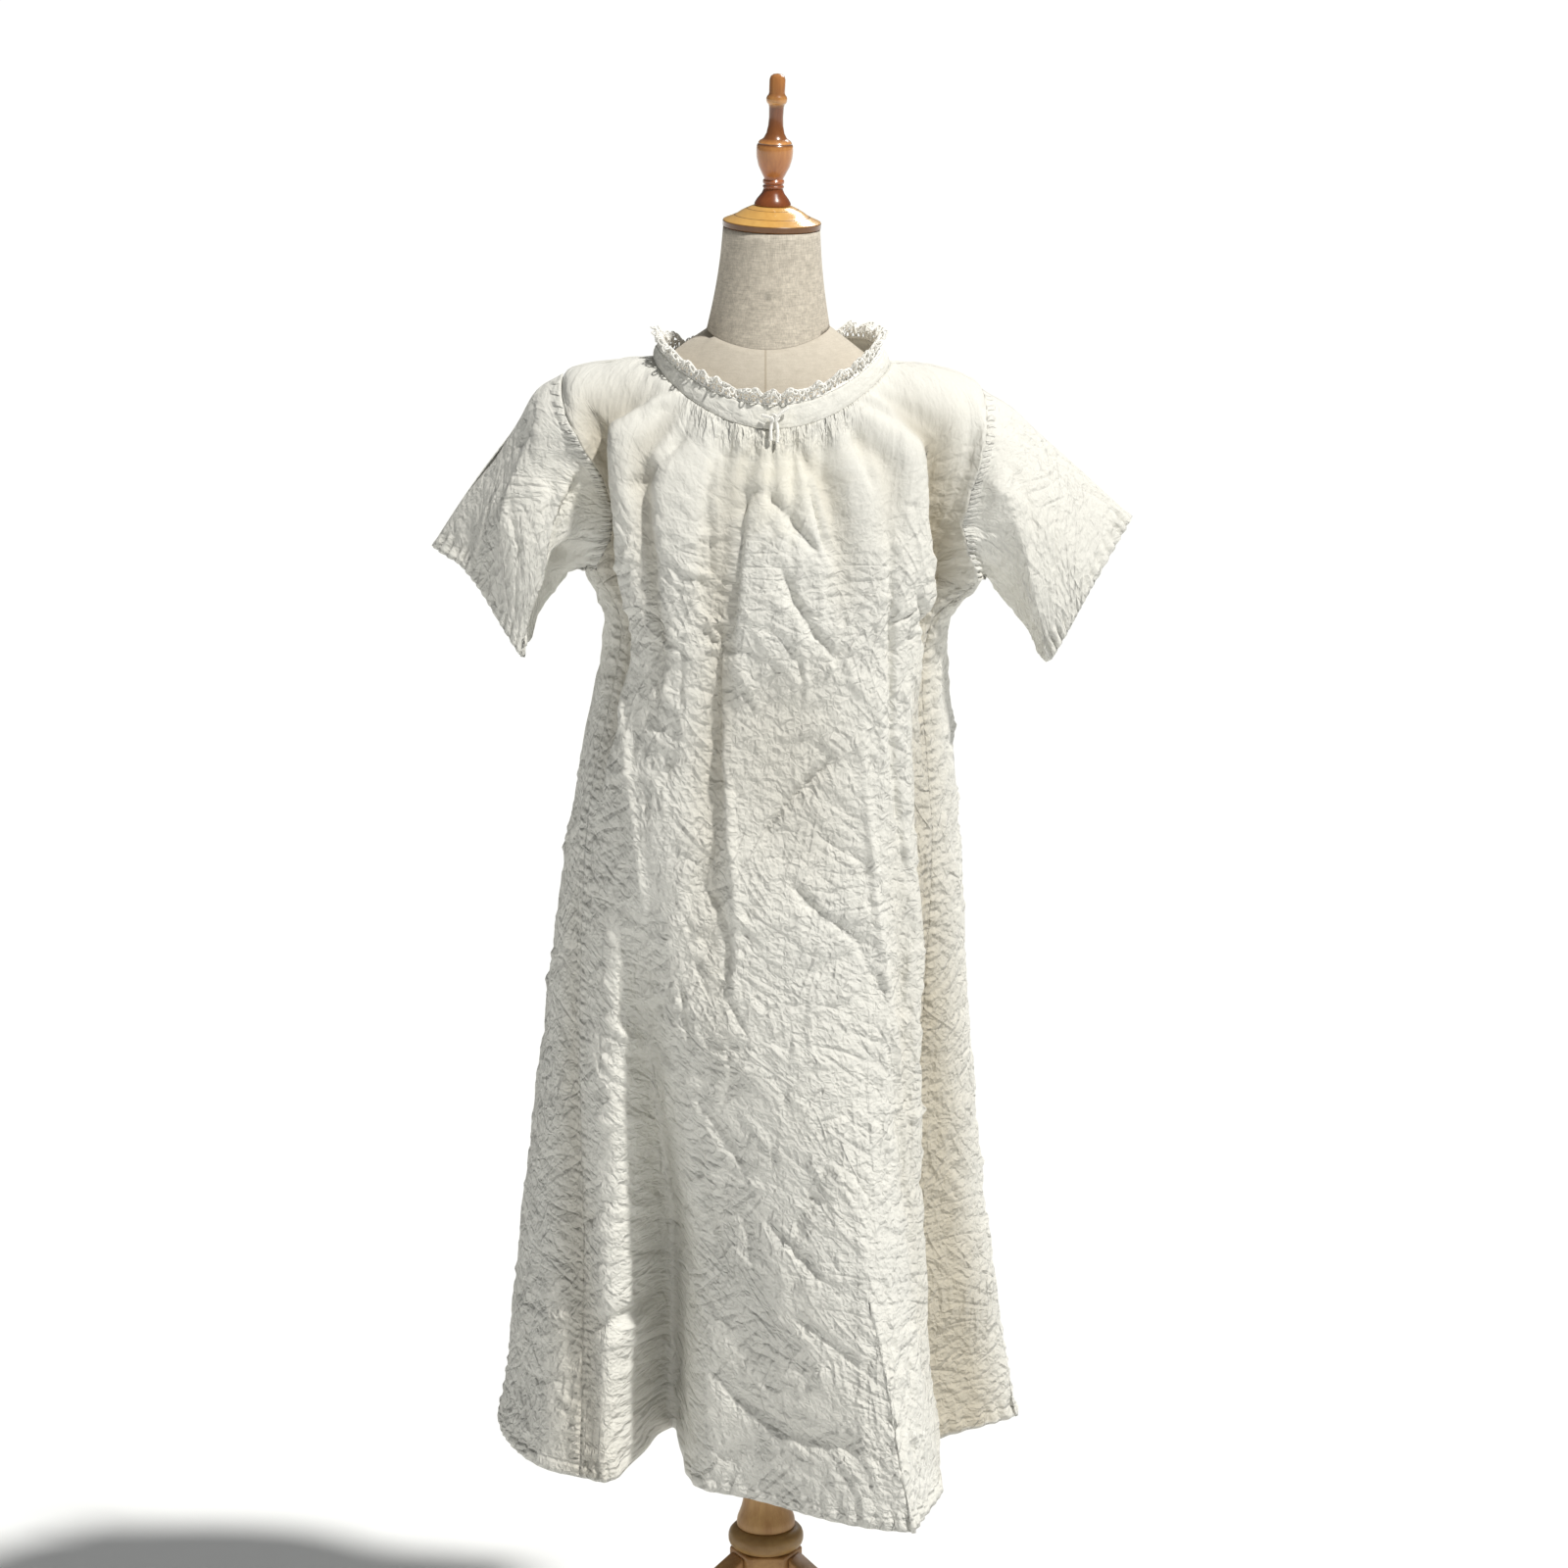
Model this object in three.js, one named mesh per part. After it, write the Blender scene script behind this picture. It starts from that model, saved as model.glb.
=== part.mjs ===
// Gathered cotton-linen chemise with a crocheted neck edging, worn by a limbless dress form that
// stands on a turned pole with three arched legs.
// Millimetres, +Z up, front towards -Y. Until the last centring the pole runs up the Z axis.
import * as THREE from 'three';

// ---------------------------------------------------------------- driving sizes
const CLOTH = 1.8;            // wall of the dress cloth
const LACE_WALL = 1.6;        // wall of the crocheted edging
const GAP = 0.3;              // clearance at every seam and joint
const SHOULDER_AT = 58;       // station of the shoulder tip, measured down from the neckband seam
const ARMPIT_AT = 185;        // station of the underarm point
const HEM_AT = 1030;          // station of the hem
const ARMHOLE_STEPS = 10;     // grid rows along each armhole edge
const FRONT_COLS = 36;
const BACK_COLS = 20;
const GORE_COLS = 4;
const GATHER_PITCH = 12.5;    // degrees round the neck between two gathers
const GATHER_DEPTH = 2.6;
const MITRE_LIMIT = 0.36;     // sharpest mitre where two sheets meet at a fold
const LACE_HEIGHT = 14;
const LACE_WAVES = 36;
const LACE_RUFFLE = 3.2;      // half height of a ruffle wave at the lace tip
const VALLEY_PHI = -37;       // where the skirt valley sits, and how far it draws columns in
const CROWD_SPREAD = 15;
const CROWD_PULL = 9;
const CORD_R = 1.8;           // drawstring
const NECK_X = 3.5;           // neck block leans a little to the wearer's left
const NECK_TOP = 1536.7;
const LEAN = 2.3;              // degrees, neck cap and finial
const CAP_HEIGHT = 20;
const POLE_R = 20.4;
const RING_R = 36.7;          // bead between pole and tripod hub
const RING_Z = 254;
const STAND_X = -3;           // the pole stands a little to the wearer's right
const HUB_APOTHEM = 31;
const HUB_FOOT = 136;
const LEG_THICK = 24;
const LEG_REACH = 285;

const V = (x, y, z) => new THREE.Vector3(x, y, z);
const rad = THREE.MathUtils.degToRad;
const TAN_LEAN = Math.tan(rad(LEAN));

// ---------------------------------------------------------------- section tables
// Closed rings of the dress body. Each names its four compass points and how boxy (< 1) or pointed
// (> 1) the quarters between them are. The first ring is the neckband seam, the last the hem.
const ring = (name, at, left, front, right, back, ease) => ({ name, at, left, front, right, back, ease });
const DRESS_RINGS = [
  ring('neckband seam', 0, V(-104, 0, 1417), V(6, -100, 1369), V(111, 0, 1412), V(4, 84, 1389),
    V(1, 1, 1)),
  ring('shoulder slope', 29, V(-146, 0, 1413), V(5, -113, 1344), V(153, 0, 1409), V(4, 99, 1369),
    V(0.94, 0.94, 0.94)),
  ring('shoulder tip', 58, V(-187, 0, 1401), V(4, -124, 1318), V(196, 0, 1388), V(4, 112, 1346),
    V(0.9, 0.9, 0.9)),
  ring('chest', 120, V(-186, 0, 1314), V(3, -136, 1261), V(201, 0, 1306), V(4, 122, 1286),
    V(0.85, 0.85, 0.86)),
  ring('armpit', 185, V(-172, 0, 1232), V(2, -140, 1203), V(196, 0, 1228), V(4, 122, 1218),
    V(0.85, 0.85, 0.86)),
  ring('bust', 235, V(-151, 2, 1181), V(2, -140, 1157), V(168, 2, 1181), V(4, 118, 1168),
    V(0.82, 0.82, 0.86)),
  ring('waist', 350, V(-174, 8, 1046), V(4, -138, 1030), V(173, 8, 1046), V(4, 113, 1040),
    V(0.8, 0.8, 0.88)),
  ring('hip', 520, V(-201, 20, 870), V(24, -142, 852), V(186, 14, 870), V(4, 125, 862),
    V(0.84, 0.86, 0.9)),
  ring('knee', 780, V(-235, 44, 602), V(88, -166, 590), V(205, 40, 608), V(2, 147, 600),
    V(1, 1.4, 0.9)),
  ring('hem', 1030, V(-266, 76, 351), V(135, -206, 344), V(245, 68, 351), V(0, 168, 357),
    V(0.98, 2.2, 0.9)),
];
const NECK_EDGE = ring('neck edge', -28, V(-101, 0, 1429), V(6, -94, 1389), V(104, 0, 1425),
  V(4, 73, 1414), V(1, 1, 1));

// Half the front's angle at each station: shoulder seam, armhole edge, then the gore seam.
const FRONT_EDGE = [[0, 90], [58, 90], [71, 75], [84, 68], [109, 63], [135, 61], [160, 64],
  [185, 71], [235, 68], [350, 66], [520, 61], [780, 57], [1030, 54]];
const BACK_EDGE = [[0, 90], [58, 90], [71, 104], [84, 111], [109, 116], [135, 117], [160, 112],
  [185, 101], [350, 101], [780, 100], [1030, 99]];

// Large folds of the body. A fold runs down the stations of its path, centred on an angle that is
// 0 at the front and grows to the wearer's left. Depth is inwards, width is its half width.
const on = (at, phi, depth, width) => ({ at, phi, depth, width });
const FOLDS = [
  { name: 'right armhole valley', path: [on(6, -58, 0, 8), on(40, -57, 13, 8), on(100, -56, 27, 8),
    on(170, -58, 26, 7), on(260, -60, 14, 6), on(380, -60, 0, 5)] },
  { name: 'right chest fold', path: [on(4, -44, 0, 5), on(35, -41, 9, 5), on(90, -38, 12, 6),
    on(180, -38, 6, 6), on(300, -38, 0, 5)] },
  { name: 'centre fold', path: [on(10, -9, 0, 5), on(70, -9, 6, 5), on(200, -12, 9, 6),
    on(350, -13, 7, 6), on(640, -16, 0, 6)] },
  { name: 'inner centre fold', path: [on(4, 8, 0, 4), on(60, 12, 6, 4), on(200, 17, 0, 4)] },
  { name: 'left gather fold', path: [on(4, 31, 0, 4), on(50, 30, 6, 4), on(130, 30, 0, 5)] },
  { name: 'left armhole valley', path: [on(6, 55, 0, 7), on(45, 51, 14, 7), on(110, 53, 25, 7),
    on(180, 58, 24, 7), on(270, 66, 12, 7), on(400, 68, 0, 7)] },
  { name: 'left skirt recess', path: [on(300, 62, 0, 12), on(420, 64, 16, 13), on(600, 62, 32, 14),
    on(800, 58, 48, 15), on(1030, 53, 70, 15)] },
  { name: 'right skirt valley', toward: V(0.12, 1, 0), path: [on(440, -36, 0, 6),
    on(540, -36, 26, 6), on(700, -37, 66, 5.5), on(860, -38.5, 112, 5), on(1030, -39.5, 158, 4.6)] },
  { name: 'right skirt slope', toward: V(0.2, 1, 0), path: [on(480, -30, 0, 16),
    on(700, -29, 20, 17), on(1030, -27, 62, 17)] },
  { name: 'left front line', path: [on(300, 38, 0, 5), on(480, 36, 5, 5), on(800, 34, 6, 5),
    on(1030, 34, 0, 5)] },
  { name: 'right gore pleat', path: [on(420, -66, 0, 5), on(650, -62, 10, 5), on(1030, -52, 14, 6)] },
  { name: 'back fold 1', path: [on(300, 128, 0, 10), on(700, 130, 16, 10), on(1030, 130, 30, 10)] },
  { name: 'back fold 2', path: [on(120, 158, 0, 9), on(600, 158, 12, 10), on(1030, 157, 34, 10)] },
  { name: 'back fold 3', path: [on(60, 186, 0, 8), on(500, 186, 10, 9), on(1030, 188, 30, 10)] },
  { name: 'back fold 4', path: [on(160, 212, 0, 9), on(650, 213, 14, 9), on(1030, 215, 34, 10)] },
  { name: 'back fold 5', path: [on(320, 238, 0, 9), on(760, 239, 14, 9), on(1030, 240, 26, 9)] },
  { name: 'back blade fold left', path: [on(6, 132, 0, 8), on(90, 128, 14, 8), on(260, 126, 0, 8)] },
  { name: 'back blade fold right', path: [on(6, 230, 0, 8), on(90, 233, 14, 8), on(260, 236, 0, 8)] },
];

// Sleeve rings, one point for each sixth of the way round, from the top over the front.
const hoop = (top, frontHigh, frontLow, low, backLow, backHigh) =>
  [top, frontHigh, frontLow, low, backLow, backHigh];
const SLEEVES = {
  right: {
    middle: hoop(V(-252, 8, 1326), V(-228, -56, 1298), V(-197, -64, 1223), V(-197, -5, 1199),
      V(-212, 50, 1216), V(-242, 56, 1288)),
    cuff: hoop(V(-313, 30, 1235), V(-268, -40, 1211), V(-226, -60, 1150), V(-226, -8, 1158),
      V(-244, 46, 1168), V(-288, 62, 1208)),
    pocket: { near: 7, spread: 2.2, depth: 15 }, crown: 9,
  },
  left: {
    middle: hoop(V(267, 8, 1327), V(246, -54, 1296), V(221, -62, 1218), V(219, -5, 1184),
      V(233, 50, 1200), V(262, 54, 1282)),
    cuff: hoop(V(338, 22, 1264), V(296, -42, 1208), V(261, -56, 1148), V(259, -6, 1148),
      V(278, 44, 1168), V(316, 58, 1216)),
    pocket: { near: 9.5, spread: 2, depth: 10 }, crown: 2,
  },
};

// Closed sections of the padded torso, from the neck seam down to the flat underside.
const TORSO_RINGS = [
  ring('neck seam', 0, V(-56.5, 0, 1444.5), V(0.5, -59, 1434), V(57, 0, 1446), V(0, 57, 1446),
    V(1, 1, 1)),
  ring('collar slope', 1, V(-78, 0, 1431), V(0, -75, 1410), V(80, 0, 1429), V(0, 63, 1416),
    V(1, 1, 1)),
  ring('collar', 2, V(-96, 0, 1415), V(0, -87, 1383), V(102, 0, 1411), V(0, 70, 1386), V(1, 1, 1)),
  ring('shoulder line', 3, V(-132, 0, 1407), V(0, -96, 1356), V(140, 0, 1402), V(0, 81, 1360),
    V(0.95, 0.95, 0.95)),
  ring('shoulder end', 4, V(-156, 0, 1395), V(0, -105, 1325), V(164, 0, 1386), V(0, 92, 1338),
    V(0.92, 0.92, 0.9)),
  ring('arm plate', 5, V(-160, 0, 1345), V(0, -114, 1285), V(167, 0, 1338), V(0, 99, 1305),
    V(0.88, 0.88, 0.88)),
  ring('bust', 6, V(-141, 0, 1268), V(0, -119, 1235), V(147, 0, 1262), V(0, 98, 1245),
    V(0.86, 0.86, 0.88)),
  ring('under bust', 7, V(-122, 0, 1160), V(0, -100, 1150), V(126, 0, 1160), V(0, 87, 1155),
    V(0.9, 0.9, 0.9)),
  ring('waist', 8, V(-108, 0, 1065), V(0, -86, 1060), V(112, 0, 1065), V(0, 77, 1065),
    V(0.92, 0.92, 0.92)),
  ring('belly', 9, V(-132, 0, 970), V(0, -96, 965), V(134, 0, 970), V(0, 92, 970), V(0.92, 0.92, 0.92)),
  ring('hip', 10, V(-152, 0, 885), V(0, -100, 885), V(152, 0, 885), V(0, 104, 885), V(0.9, 0.9, 0.9)),
  ring('hip foot', 11, V(-146, 0, 812), V(0, -95, 812), V(146, 0, 812), V(0, 100, 812),
    V(0.9, 0.9, 0.9)),
  ring('underside', 12, V(-134, 0, 800), V(0, -86, 800), V(134, 0, 800), V(0, 91, 800),
    V(0.9, 0.9, 0.9)),
];
const TORSO_COLS = 32;

// Turned profiles as [height, radius], from the lower axis end to the upper one.
const CAP_PROFILE = [[0, 0], [0, 43.8], [1, 45], [5.6, 45], [7.2, 43.6], [10.6, 35.2], [11.4, 34],
  [14.6, 29], [17.2, 24.2], [18, 23], [CAP_HEIGHT, 17.6], [CAP_HEIGHT, 0]];
const FINIAL_PROFILE = [[0, 0], [0, 16.4], [2, 16.6], [6, 14.6], [11, 10.6], [15, 9], [17, 9.6],
  [19, 8.8], [21.5, 9.6], [24.4, 8.7], [28, 10.8], [36, 14.6], [44, 16.4], [52, 16.6], [56.5, 15.8],
  [59, 13.6], [60.5, 11.3], [65.6, 8.2], [72, 7], [80, 6.5], [89, 6.8], [92, 7.6], [94, 9],
  [96.5, 9.5], [99.3, 8.6], [101.7, 7.4], [114, 7.4], [117.4, 6], [119, 3.4], [119.4, 0]];
const POLE_PROFILE = [[265.3, 0], [265.3, 27.2], [269, 28.4], [275, 27.4], [283, 24.6], [297, 21.8],
  [322, POLE_R], [799.7, POLE_R], [799.7, 0]];
const KNOT_PROFILE = [[-4, 0], [-3.4, 2.6], [-1.4, 4], [1.4, 4], [3.4, 2.6], [4, 0]];
const RING_PROFILE = [[-11, 0], [-11, 28], [-8.2, 33.4], [-3.4, RING_R - 0.3], [0, RING_R],
  [3.4, RING_R - 0.3], [8.2, 33.4], [11, 28], [11, 0]];

// ---------------------------------------------------------------- interpolation
function hermite(keys, at, read) {
  let k = 0;
  while (k < keys.length - 2 && at > keys[k + 1].at) k += 1;
  const a = keys[k], b = keys[k + 1];
  const before = keys[Math.max(k - 1, 0)], after = keys[Math.min(k + 2, keys.length - 1)];
  const span = b.at - a.at, t = THREE.MathUtils.clamp((at - a.at) / span, 0, 1);
  const slopeA = (read(b) - read(before)) / (b.at - before.at);
  const slopeB = (read(after) - read(a)) / (after.at - a.at);
  const t2 = t * t, t3 = t2 * t;
  return (2 * t3 - 3 * t2 + 1) * read(a) + (t3 - 2 * t2 + t) * span * slopeA
    + (3 * t2 - 2 * t3) * read(b) + (t3 - t2) * span * slopeB;
}

function straight(pairs, at) {
  let k = 0;
  while (k < pairs.length - 2 && at > pairs[k + 1][0]) k += 1;
  const [a, va] = pairs[k], [b, vb] = pairs[k + 1];
  return va + (vb - va) * THREE.MathUtils.clamp((at - a) / (b - a), 0, 1);
}

function ringAt(rings, at) {
  const mixed = (field) => V(...['x', 'y', 'z'].map((c) => hermite(rings, at, (r) => r[field][c])));
  return { left: mixed('left'), front: mixed('front'), right: mixed('right'), back: mixed('back'),
    ease: mixed('ease') };
}

// Point of one section: 0 degrees is the front, 90 the wearer's left side, 180 the back.
function ringPoint(r, phi) {
  const p = THREE.MathUtils.euclideanModulo(phi + 180, 360) - 180;
  const turn = Math.abs(p), ahead = turn <= 90;
  const side = p >= 0 ? r.right : r.left, mid = ahead ? r.front : r.back;
  const ease = ahead ? (p >= 0 ? r.ease.y : r.ease.x) : r.ease.z;
  const a = rad(ahead ? turn : 180 - turn);
  const sn = Math.sin(a), cs = Math.max(Math.cos(a), 0);
  return V(mid.x + (side.x - mid.x) * sn ** ease, side.y + (mid.y - side.y) * cs ** ease,
    side.z + (mid.z - side.z) * cs * cs);
}

// ---------------------------------------------------------------- the draped body surface
const plain = (phi, at) => ringPoint(ringAt(DRESS_RINGS, at), phi);

function plainNormal(phi, at) {
  const across = plain(phi + 1, at).sub(plain(phi - 1, at));
  const down = plain(phi, Math.min(at + 4, HEM_AT)).sub(plain(phi, Math.max(at - 4, 0)));
  return down.cross(across).normalize();
}

function foldPush(phi, at) {
  const push = V(0, 0, 0), normal = plainNormal(phi, at);
  for (const fold of FOLDS) {
    const path = fold.path, last = path[path.length - 1].at;
    if (at <= path[0].at || (at >= last && path[path.length - 1].depth === 0)) continue;
    const [c, depth, width] = ['phi', 'depth', 'width'].map((f) => hermite(path, at, (k) => k[f]));
    const off = (THREE.MathUtils.euclideanModulo(phi - c + 180, 360) - 180) / width;
    const amount = Math.max(depth, 0) * Math.exp(-off * off);
    push.addScaledVector(fold.toward ? fold.toward.clone().normalize() : normal,
      fold.toward ? amount : -amount);
  }
  const fade = Math.min(at / 16, 1) * Math.exp(-Math.max(at - 16, 0) / 42);
  const wrapped = THREE.MathUtils.euclideanModulo(phi + 180, 360) - 180;
  const frontOnly = THREE.MathUtils.smoothstep(62 - Math.abs(wrapped), 0, 14);
  const backOnly = 0.6 * THREE.MathUtils.smoothstep(Math.abs(wrapped) - 125, 0, 20);
  const wave = Math.cos(rad(360 * (wrapped + 2.5 * Math.sin(rad(7 * wrapped))) / GATHER_PITCH));
  return push.addScaledVector(normal, GATHER_DEPTH * fade * (frontOnly + backOnly) * wave);
}

const drape = (phi, at) => plain(phi, at).add(foldPush(phi, at));

// ---------------------------------------------------------------- sheets of cloth
function stations() {
  const top = [0, 19, 38, SHOULDER_AT];
  const low = [235, 290, 350, 420, 495, 570, 650, 730, 810, 890, 965, 1030];
  const step = (ARMPIT_AT - SHOULDER_AT) / ARMHOLE_STEPS;
  const arm = Array.from({ length: ARMHOLE_STEPS }, (_, k) => SHOULDER_AT + step * (k + 1));
  return [...top, ...arm, ...low];
}

// Columns of the front are drawn together where the skirt valley needs them.
function crowded(phi, share, at) {
  const x = (phi - VALLEY_PHI) / CROWD_SPREAD, strength = THREE.MathUtils.smoothstep(at, 420, 760);
  return phi - CROWD_PULL * strength * Math.sin(Math.PI * share) ** 0.5 * x * Math.exp(-x * x);
}

function panel(name, rows, cols, from, to, arrange = (phi) => phi) {
  const grid = rows.map((at) => Array.from({ length: cols + 1 }, (_, i) =>
    drape(arrange(from(at) + (to(at) - from(at)) * i / cols, i / cols, at), at)));
  return { name, part: 'body', grid, closed: false, sign: -1, wall: CLOTH };
}

function gridNormals(sheet) {
  const { grid, closed, sign } = sheet, rows = grid.length, cols = grid[0].length;
  const pick = (j, i) => grid[THREE.MathUtils.clamp(j, 0, rows - 1)][closed
    ? (i + cols) % cols : THREE.MathUtils.clamp(i, 0, cols - 1)];
  sheet.normals = grid.map((row, j) => row.map((_, i) =>
    pick(j, i + 1).clone().sub(pick(j, i - 1)).cross(pick(j + 1, i).clone().sub(pick(j - 1, i)))
      .multiplyScalar(sign).normalize()));
}

// Vertices that several sheets share are mitred on one common normal and drawn apart by the gap.
function sew(sheets) {
  const shared = new Map();
  for (const sheet of sheets) {
    gridNormals(sheet);
    if (sheet.foot) sheet.normals[0] = sheet.foot;
    sheet.lift = sheet.normals.map((row) => row.map((n) => n.clone().multiplyScalar(sheet.wall / 2)));
    sheet.shift = sheet.grid.map((row) => row.map(() => V(0, 0, 0)));
    const rows = sheet.grid.length, cols = sheet.grid[0].length;
    sheet.grid.forEach((row, j) => row.forEach((p, i) => {
      const rim = j === 0 || j === rows - 1 || (!sheet.closed && (i === 0 || i === cols - 1));
      if (!rim) return;
      const key = [p.x, p.y, p.z].map((c) => c.toFixed(3)).join(' ');
      if (!shared.has(key)) shared.set(key, []);
      shared.get(key).push({ sheet, i, j });
    }));
  }
  for (const group of shared.values()) {
    if (group.length < 2) continue;
    const byPart = new Map();
    for (const { sheet, i, j } of group) {
      if (!byPart.has(sheet.part)) byPart.set(sheet.part, V(0, 0, 0));
      byPart.get(sheet.part).add(sheet.normals[j][i]);
    }
    const mean = V(0, 0, 0);
    for (const normal of byPart.values()) mean.add(normal.normalize());
    mean.normalize();
    for (const { sheet, i, j } of group) {
      const own = Math.max(mean.dot(sheet.normals[j][i]), MITRE_LIMIT);
      sheet.lift[j][i] = mean.clone().multiplyScalar(sheet.wall / 2 / own);
      sheet.shift[j][i] = inward(sheet, j, i, mean).multiplyScalar(GAP / 2);
    }
  }
}

function inward(sheet, j, i, normal) {
  const { grid, closed } = sheet, rows = grid.length, cols = grid[0].length, here = grid[j][i];
  const sum = V(0, 0, 0);
  const flat = (p) => {
    const d = p.clone().sub(here);
    return d.addScaledVector(normal, -d.dot(normal)).normalize();
  };
  const cornerColumn = !closed && (i === 0 || i === cols - 1);
  if (j === 0) sum.add(flat(grid[1][i]));
  if (j === rows - 1) sum.add(flat(grid[rows - 2][i]));
  if (cornerColumn) sum.add(flat(grid[j][i === 0 ? 1 : cols - 2]));
  return sum;
}

function sheetMesh(sheet, colour) {
  const { grid, closed, sign } = sheet, rows = grid.length, cols = grid[0].length;
  const spots = [], faces = [];
  for (const face of [1, -1]) {
    grid.forEach((row, j) => row.forEach((p, i) => {
      const q = p.clone().add(sheet.shift[j][i]).addScaledVector(sheet.lift[j][i], face);
      spots.push(q.x, q.y, q.z);
    }));
  }
  const id = (j, i, under) => (under ? rows * cols : 0) + j * cols + (i % cols);
  const quad = (a, b, c, d, turn) => faces.push(...(turn ? [a, c, b, a, d, c] : [a, b, c, a, c, d]));
  const length = (a, b) => Math.hypot(...[0, 1, 2].map((c) => spots[3 * a + c] - spots[3 * b + c]));
  // Rim quads split along their shorter diagonal, so that facing rims of a seam stay parallel.
  const rim = (a, b, c, d, turn) => {
    const corners = length(a, c) <= length(b, d) ? [a, b, c, d] : [b, c, d, a];
    quad(...corners, turn);
  };
  const spanCols = closed ? cols : cols - 1, turned = sign < 0;
  for (let j = 0; j < rows - 1; j += 1) {
    for (let i = 0; i < spanCols; i += 1) {
      quad(id(j, i), id(j, i + 1), id(j + 1, i + 1), id(j + 1, i), turned);
      quad(id(j, i, 1), id(j, i + 1, 1), id(j + 1, i + 1, 1), id(j + 1, i, 1), !turned);
    }
  }
  for (let i = 0; i < spanCols; i += 1) {
    rim(id(0, i), id(0, i + 1), id(0, i + 1, 1), id(0, i, 1), !turned);
    rim(id(rows - 1, i), id(rows - 1, i + 1), id(rows - 1, i + 1, 1), id(rows - 1, i, 1), turned);
  }
  if (!closed) {
    for (let j = 0; j < rows - 1; j += 1) {
      rim(id(j, 0), id(j + 1, 0), id(j + 1, 0, 1), id(j, 0, 1), turned);
      rim(id(j, cols - 1), id(j + 1, cols - 1), id(j + 1, cols - 1, 1), id(j, cols - 1, 1), !turned);
    }
  }
  return solid(sheet.name, spots, faces, colour);
}

function solid(name, spots, faces, colour, roughness = 0.9) {
  const geometry = new THREE.BufferGeometry();
  geometry.setAttribute('position', new THREE.Float32BufferAttribute(spots, 3));
  geometry.setIndex(faces);
  geometry.computeVertexNormals();
  return coloured(name, geometry, colour, roughness);
}

function coloured(name, geometry, colour, roughness) {
  const mesh = new THREE.Mesh(geometry, new THREE.MeshStandardMaterial({ color: colour, roughness }));
  mesh.name = name;
  return mesh;
}

// ---------------------------------------------------------------- sleeves
// The armhole loop starts at the shoulder tip and runs down the front, under the arm, up the back.
function armhole(front, gore, back, wearersLeft) {
  const tip = 3, foot = tip + ARMHOLE_STEPS, loop = [];
  const frontCol = wearersLeft ? FRONT_COLS : 0, backCol = wearersLeft ? 0 : BACK_COLS;
  for (let j = tip; j <= foot; j += 1) loop.push(front.grid[j][frontCol]);
  for (let i = 1; i < GORE_COLS; i += 1) loop.push(gore.grid[0][wearersLeft ? i : GORE_COLS - i]);
  for (let j = foot; j > tip; j -= 1) loop.push(back.grid[j][backCol]);
  return loop;
}

const UP_AND_OUT = V(0.6, 0, 0.8);

function sleeve(name, loop, cut, wearersLeft) {
  const middle = new THREE.CatmullRomCurve3(cut.middle, true);
  const cuff = new THREE.CatmullRomCurve3(cut.cuff, true);
  const count = loop.length, rows = [0, 0.1, 0.24, 0.4, 0.58, 0.79, 1];
  const axis = V(wearersLeft ? 1 : -1, 0, -0.85).normalize();
  const grid = rows.map((w) => loop.map((start, k) => {
    const m = middle.getPoint(k / count), c = cuff.getPoint(k / count);
    const p = start.clone().multiplyScalar((1 - w) * (1 - 2 * w))
      .addScaledVector(m, 4 * w * (1 - w)).addScaledVector(c, w * (2 * w - 1));
    const off = (k - cut.pocket.near) / cut.pocket.spread;
    const dip = cut.pocket.depth * Math.exp(-off * off) * Math.sin(Math.PI * w) ** 1.3;
    const uppermost = Math.max(Math.cos(2 * Math.PI * k / count), 0) ** 2;
    const round = Math.exp(-(((w - 0.16) / 0.13) ** 2)) * uppermost;
    p.addScaledVector(UP_AND_OUT.clone().setX(UP_AND_OUT.x * axis.x), cut.crown * round);
    const heart = loop[0].clone().lerp(loop[loop.length / 2], 0.5).addScaledVector(axis, 130 * w);
    return p.add(heart.sub(p).normalize().multiplyScalar(dip));
  }));
  grid[0] = loop.map((p) => p.clone());
  return { name, part: 'sleeve', grid, closed: true, sign: wearersLeft ? 1 : -1, wall: CLOTH };
}

// ---------------------------------------------------------------- neckband, edging and tie
function neckband(front, back) {
  const seam = [...front.grid[0], ...back.grid[0].slice(1, -1)];
  const angles = seam.map((_, k) => (k <= FRONT_COLS ? -90 + 180 * k / FRONT_COLS
    : 90 + 180 * (k - FRONT_COLS) / BACK_COLS));
  const bump = (phi, at, size) => size * Math.exp(-(((phi - at) / 26) ** 2));
  const edge = angles.map((phi) => ringPoint(NECK_EDGE, phi)
    .add(V(0, 0, bump(phi, 132, 7) + bump(phi, 232, -9))));
  const crown = seam.map((p, k) => p.clone().lerp(edge[k], 0.5)
    .add(V(Math.sin(rad(angles[k])), -Math.cos(rad(angles[k])), 0.3).multiplyScalar(1.6)));
  return { name: 'neckband', part: 'band', grid: [seam.map((p) => p.clone()), crown, edge],
    closed: true, sign: 1, wall: CLOTH };
}

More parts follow.
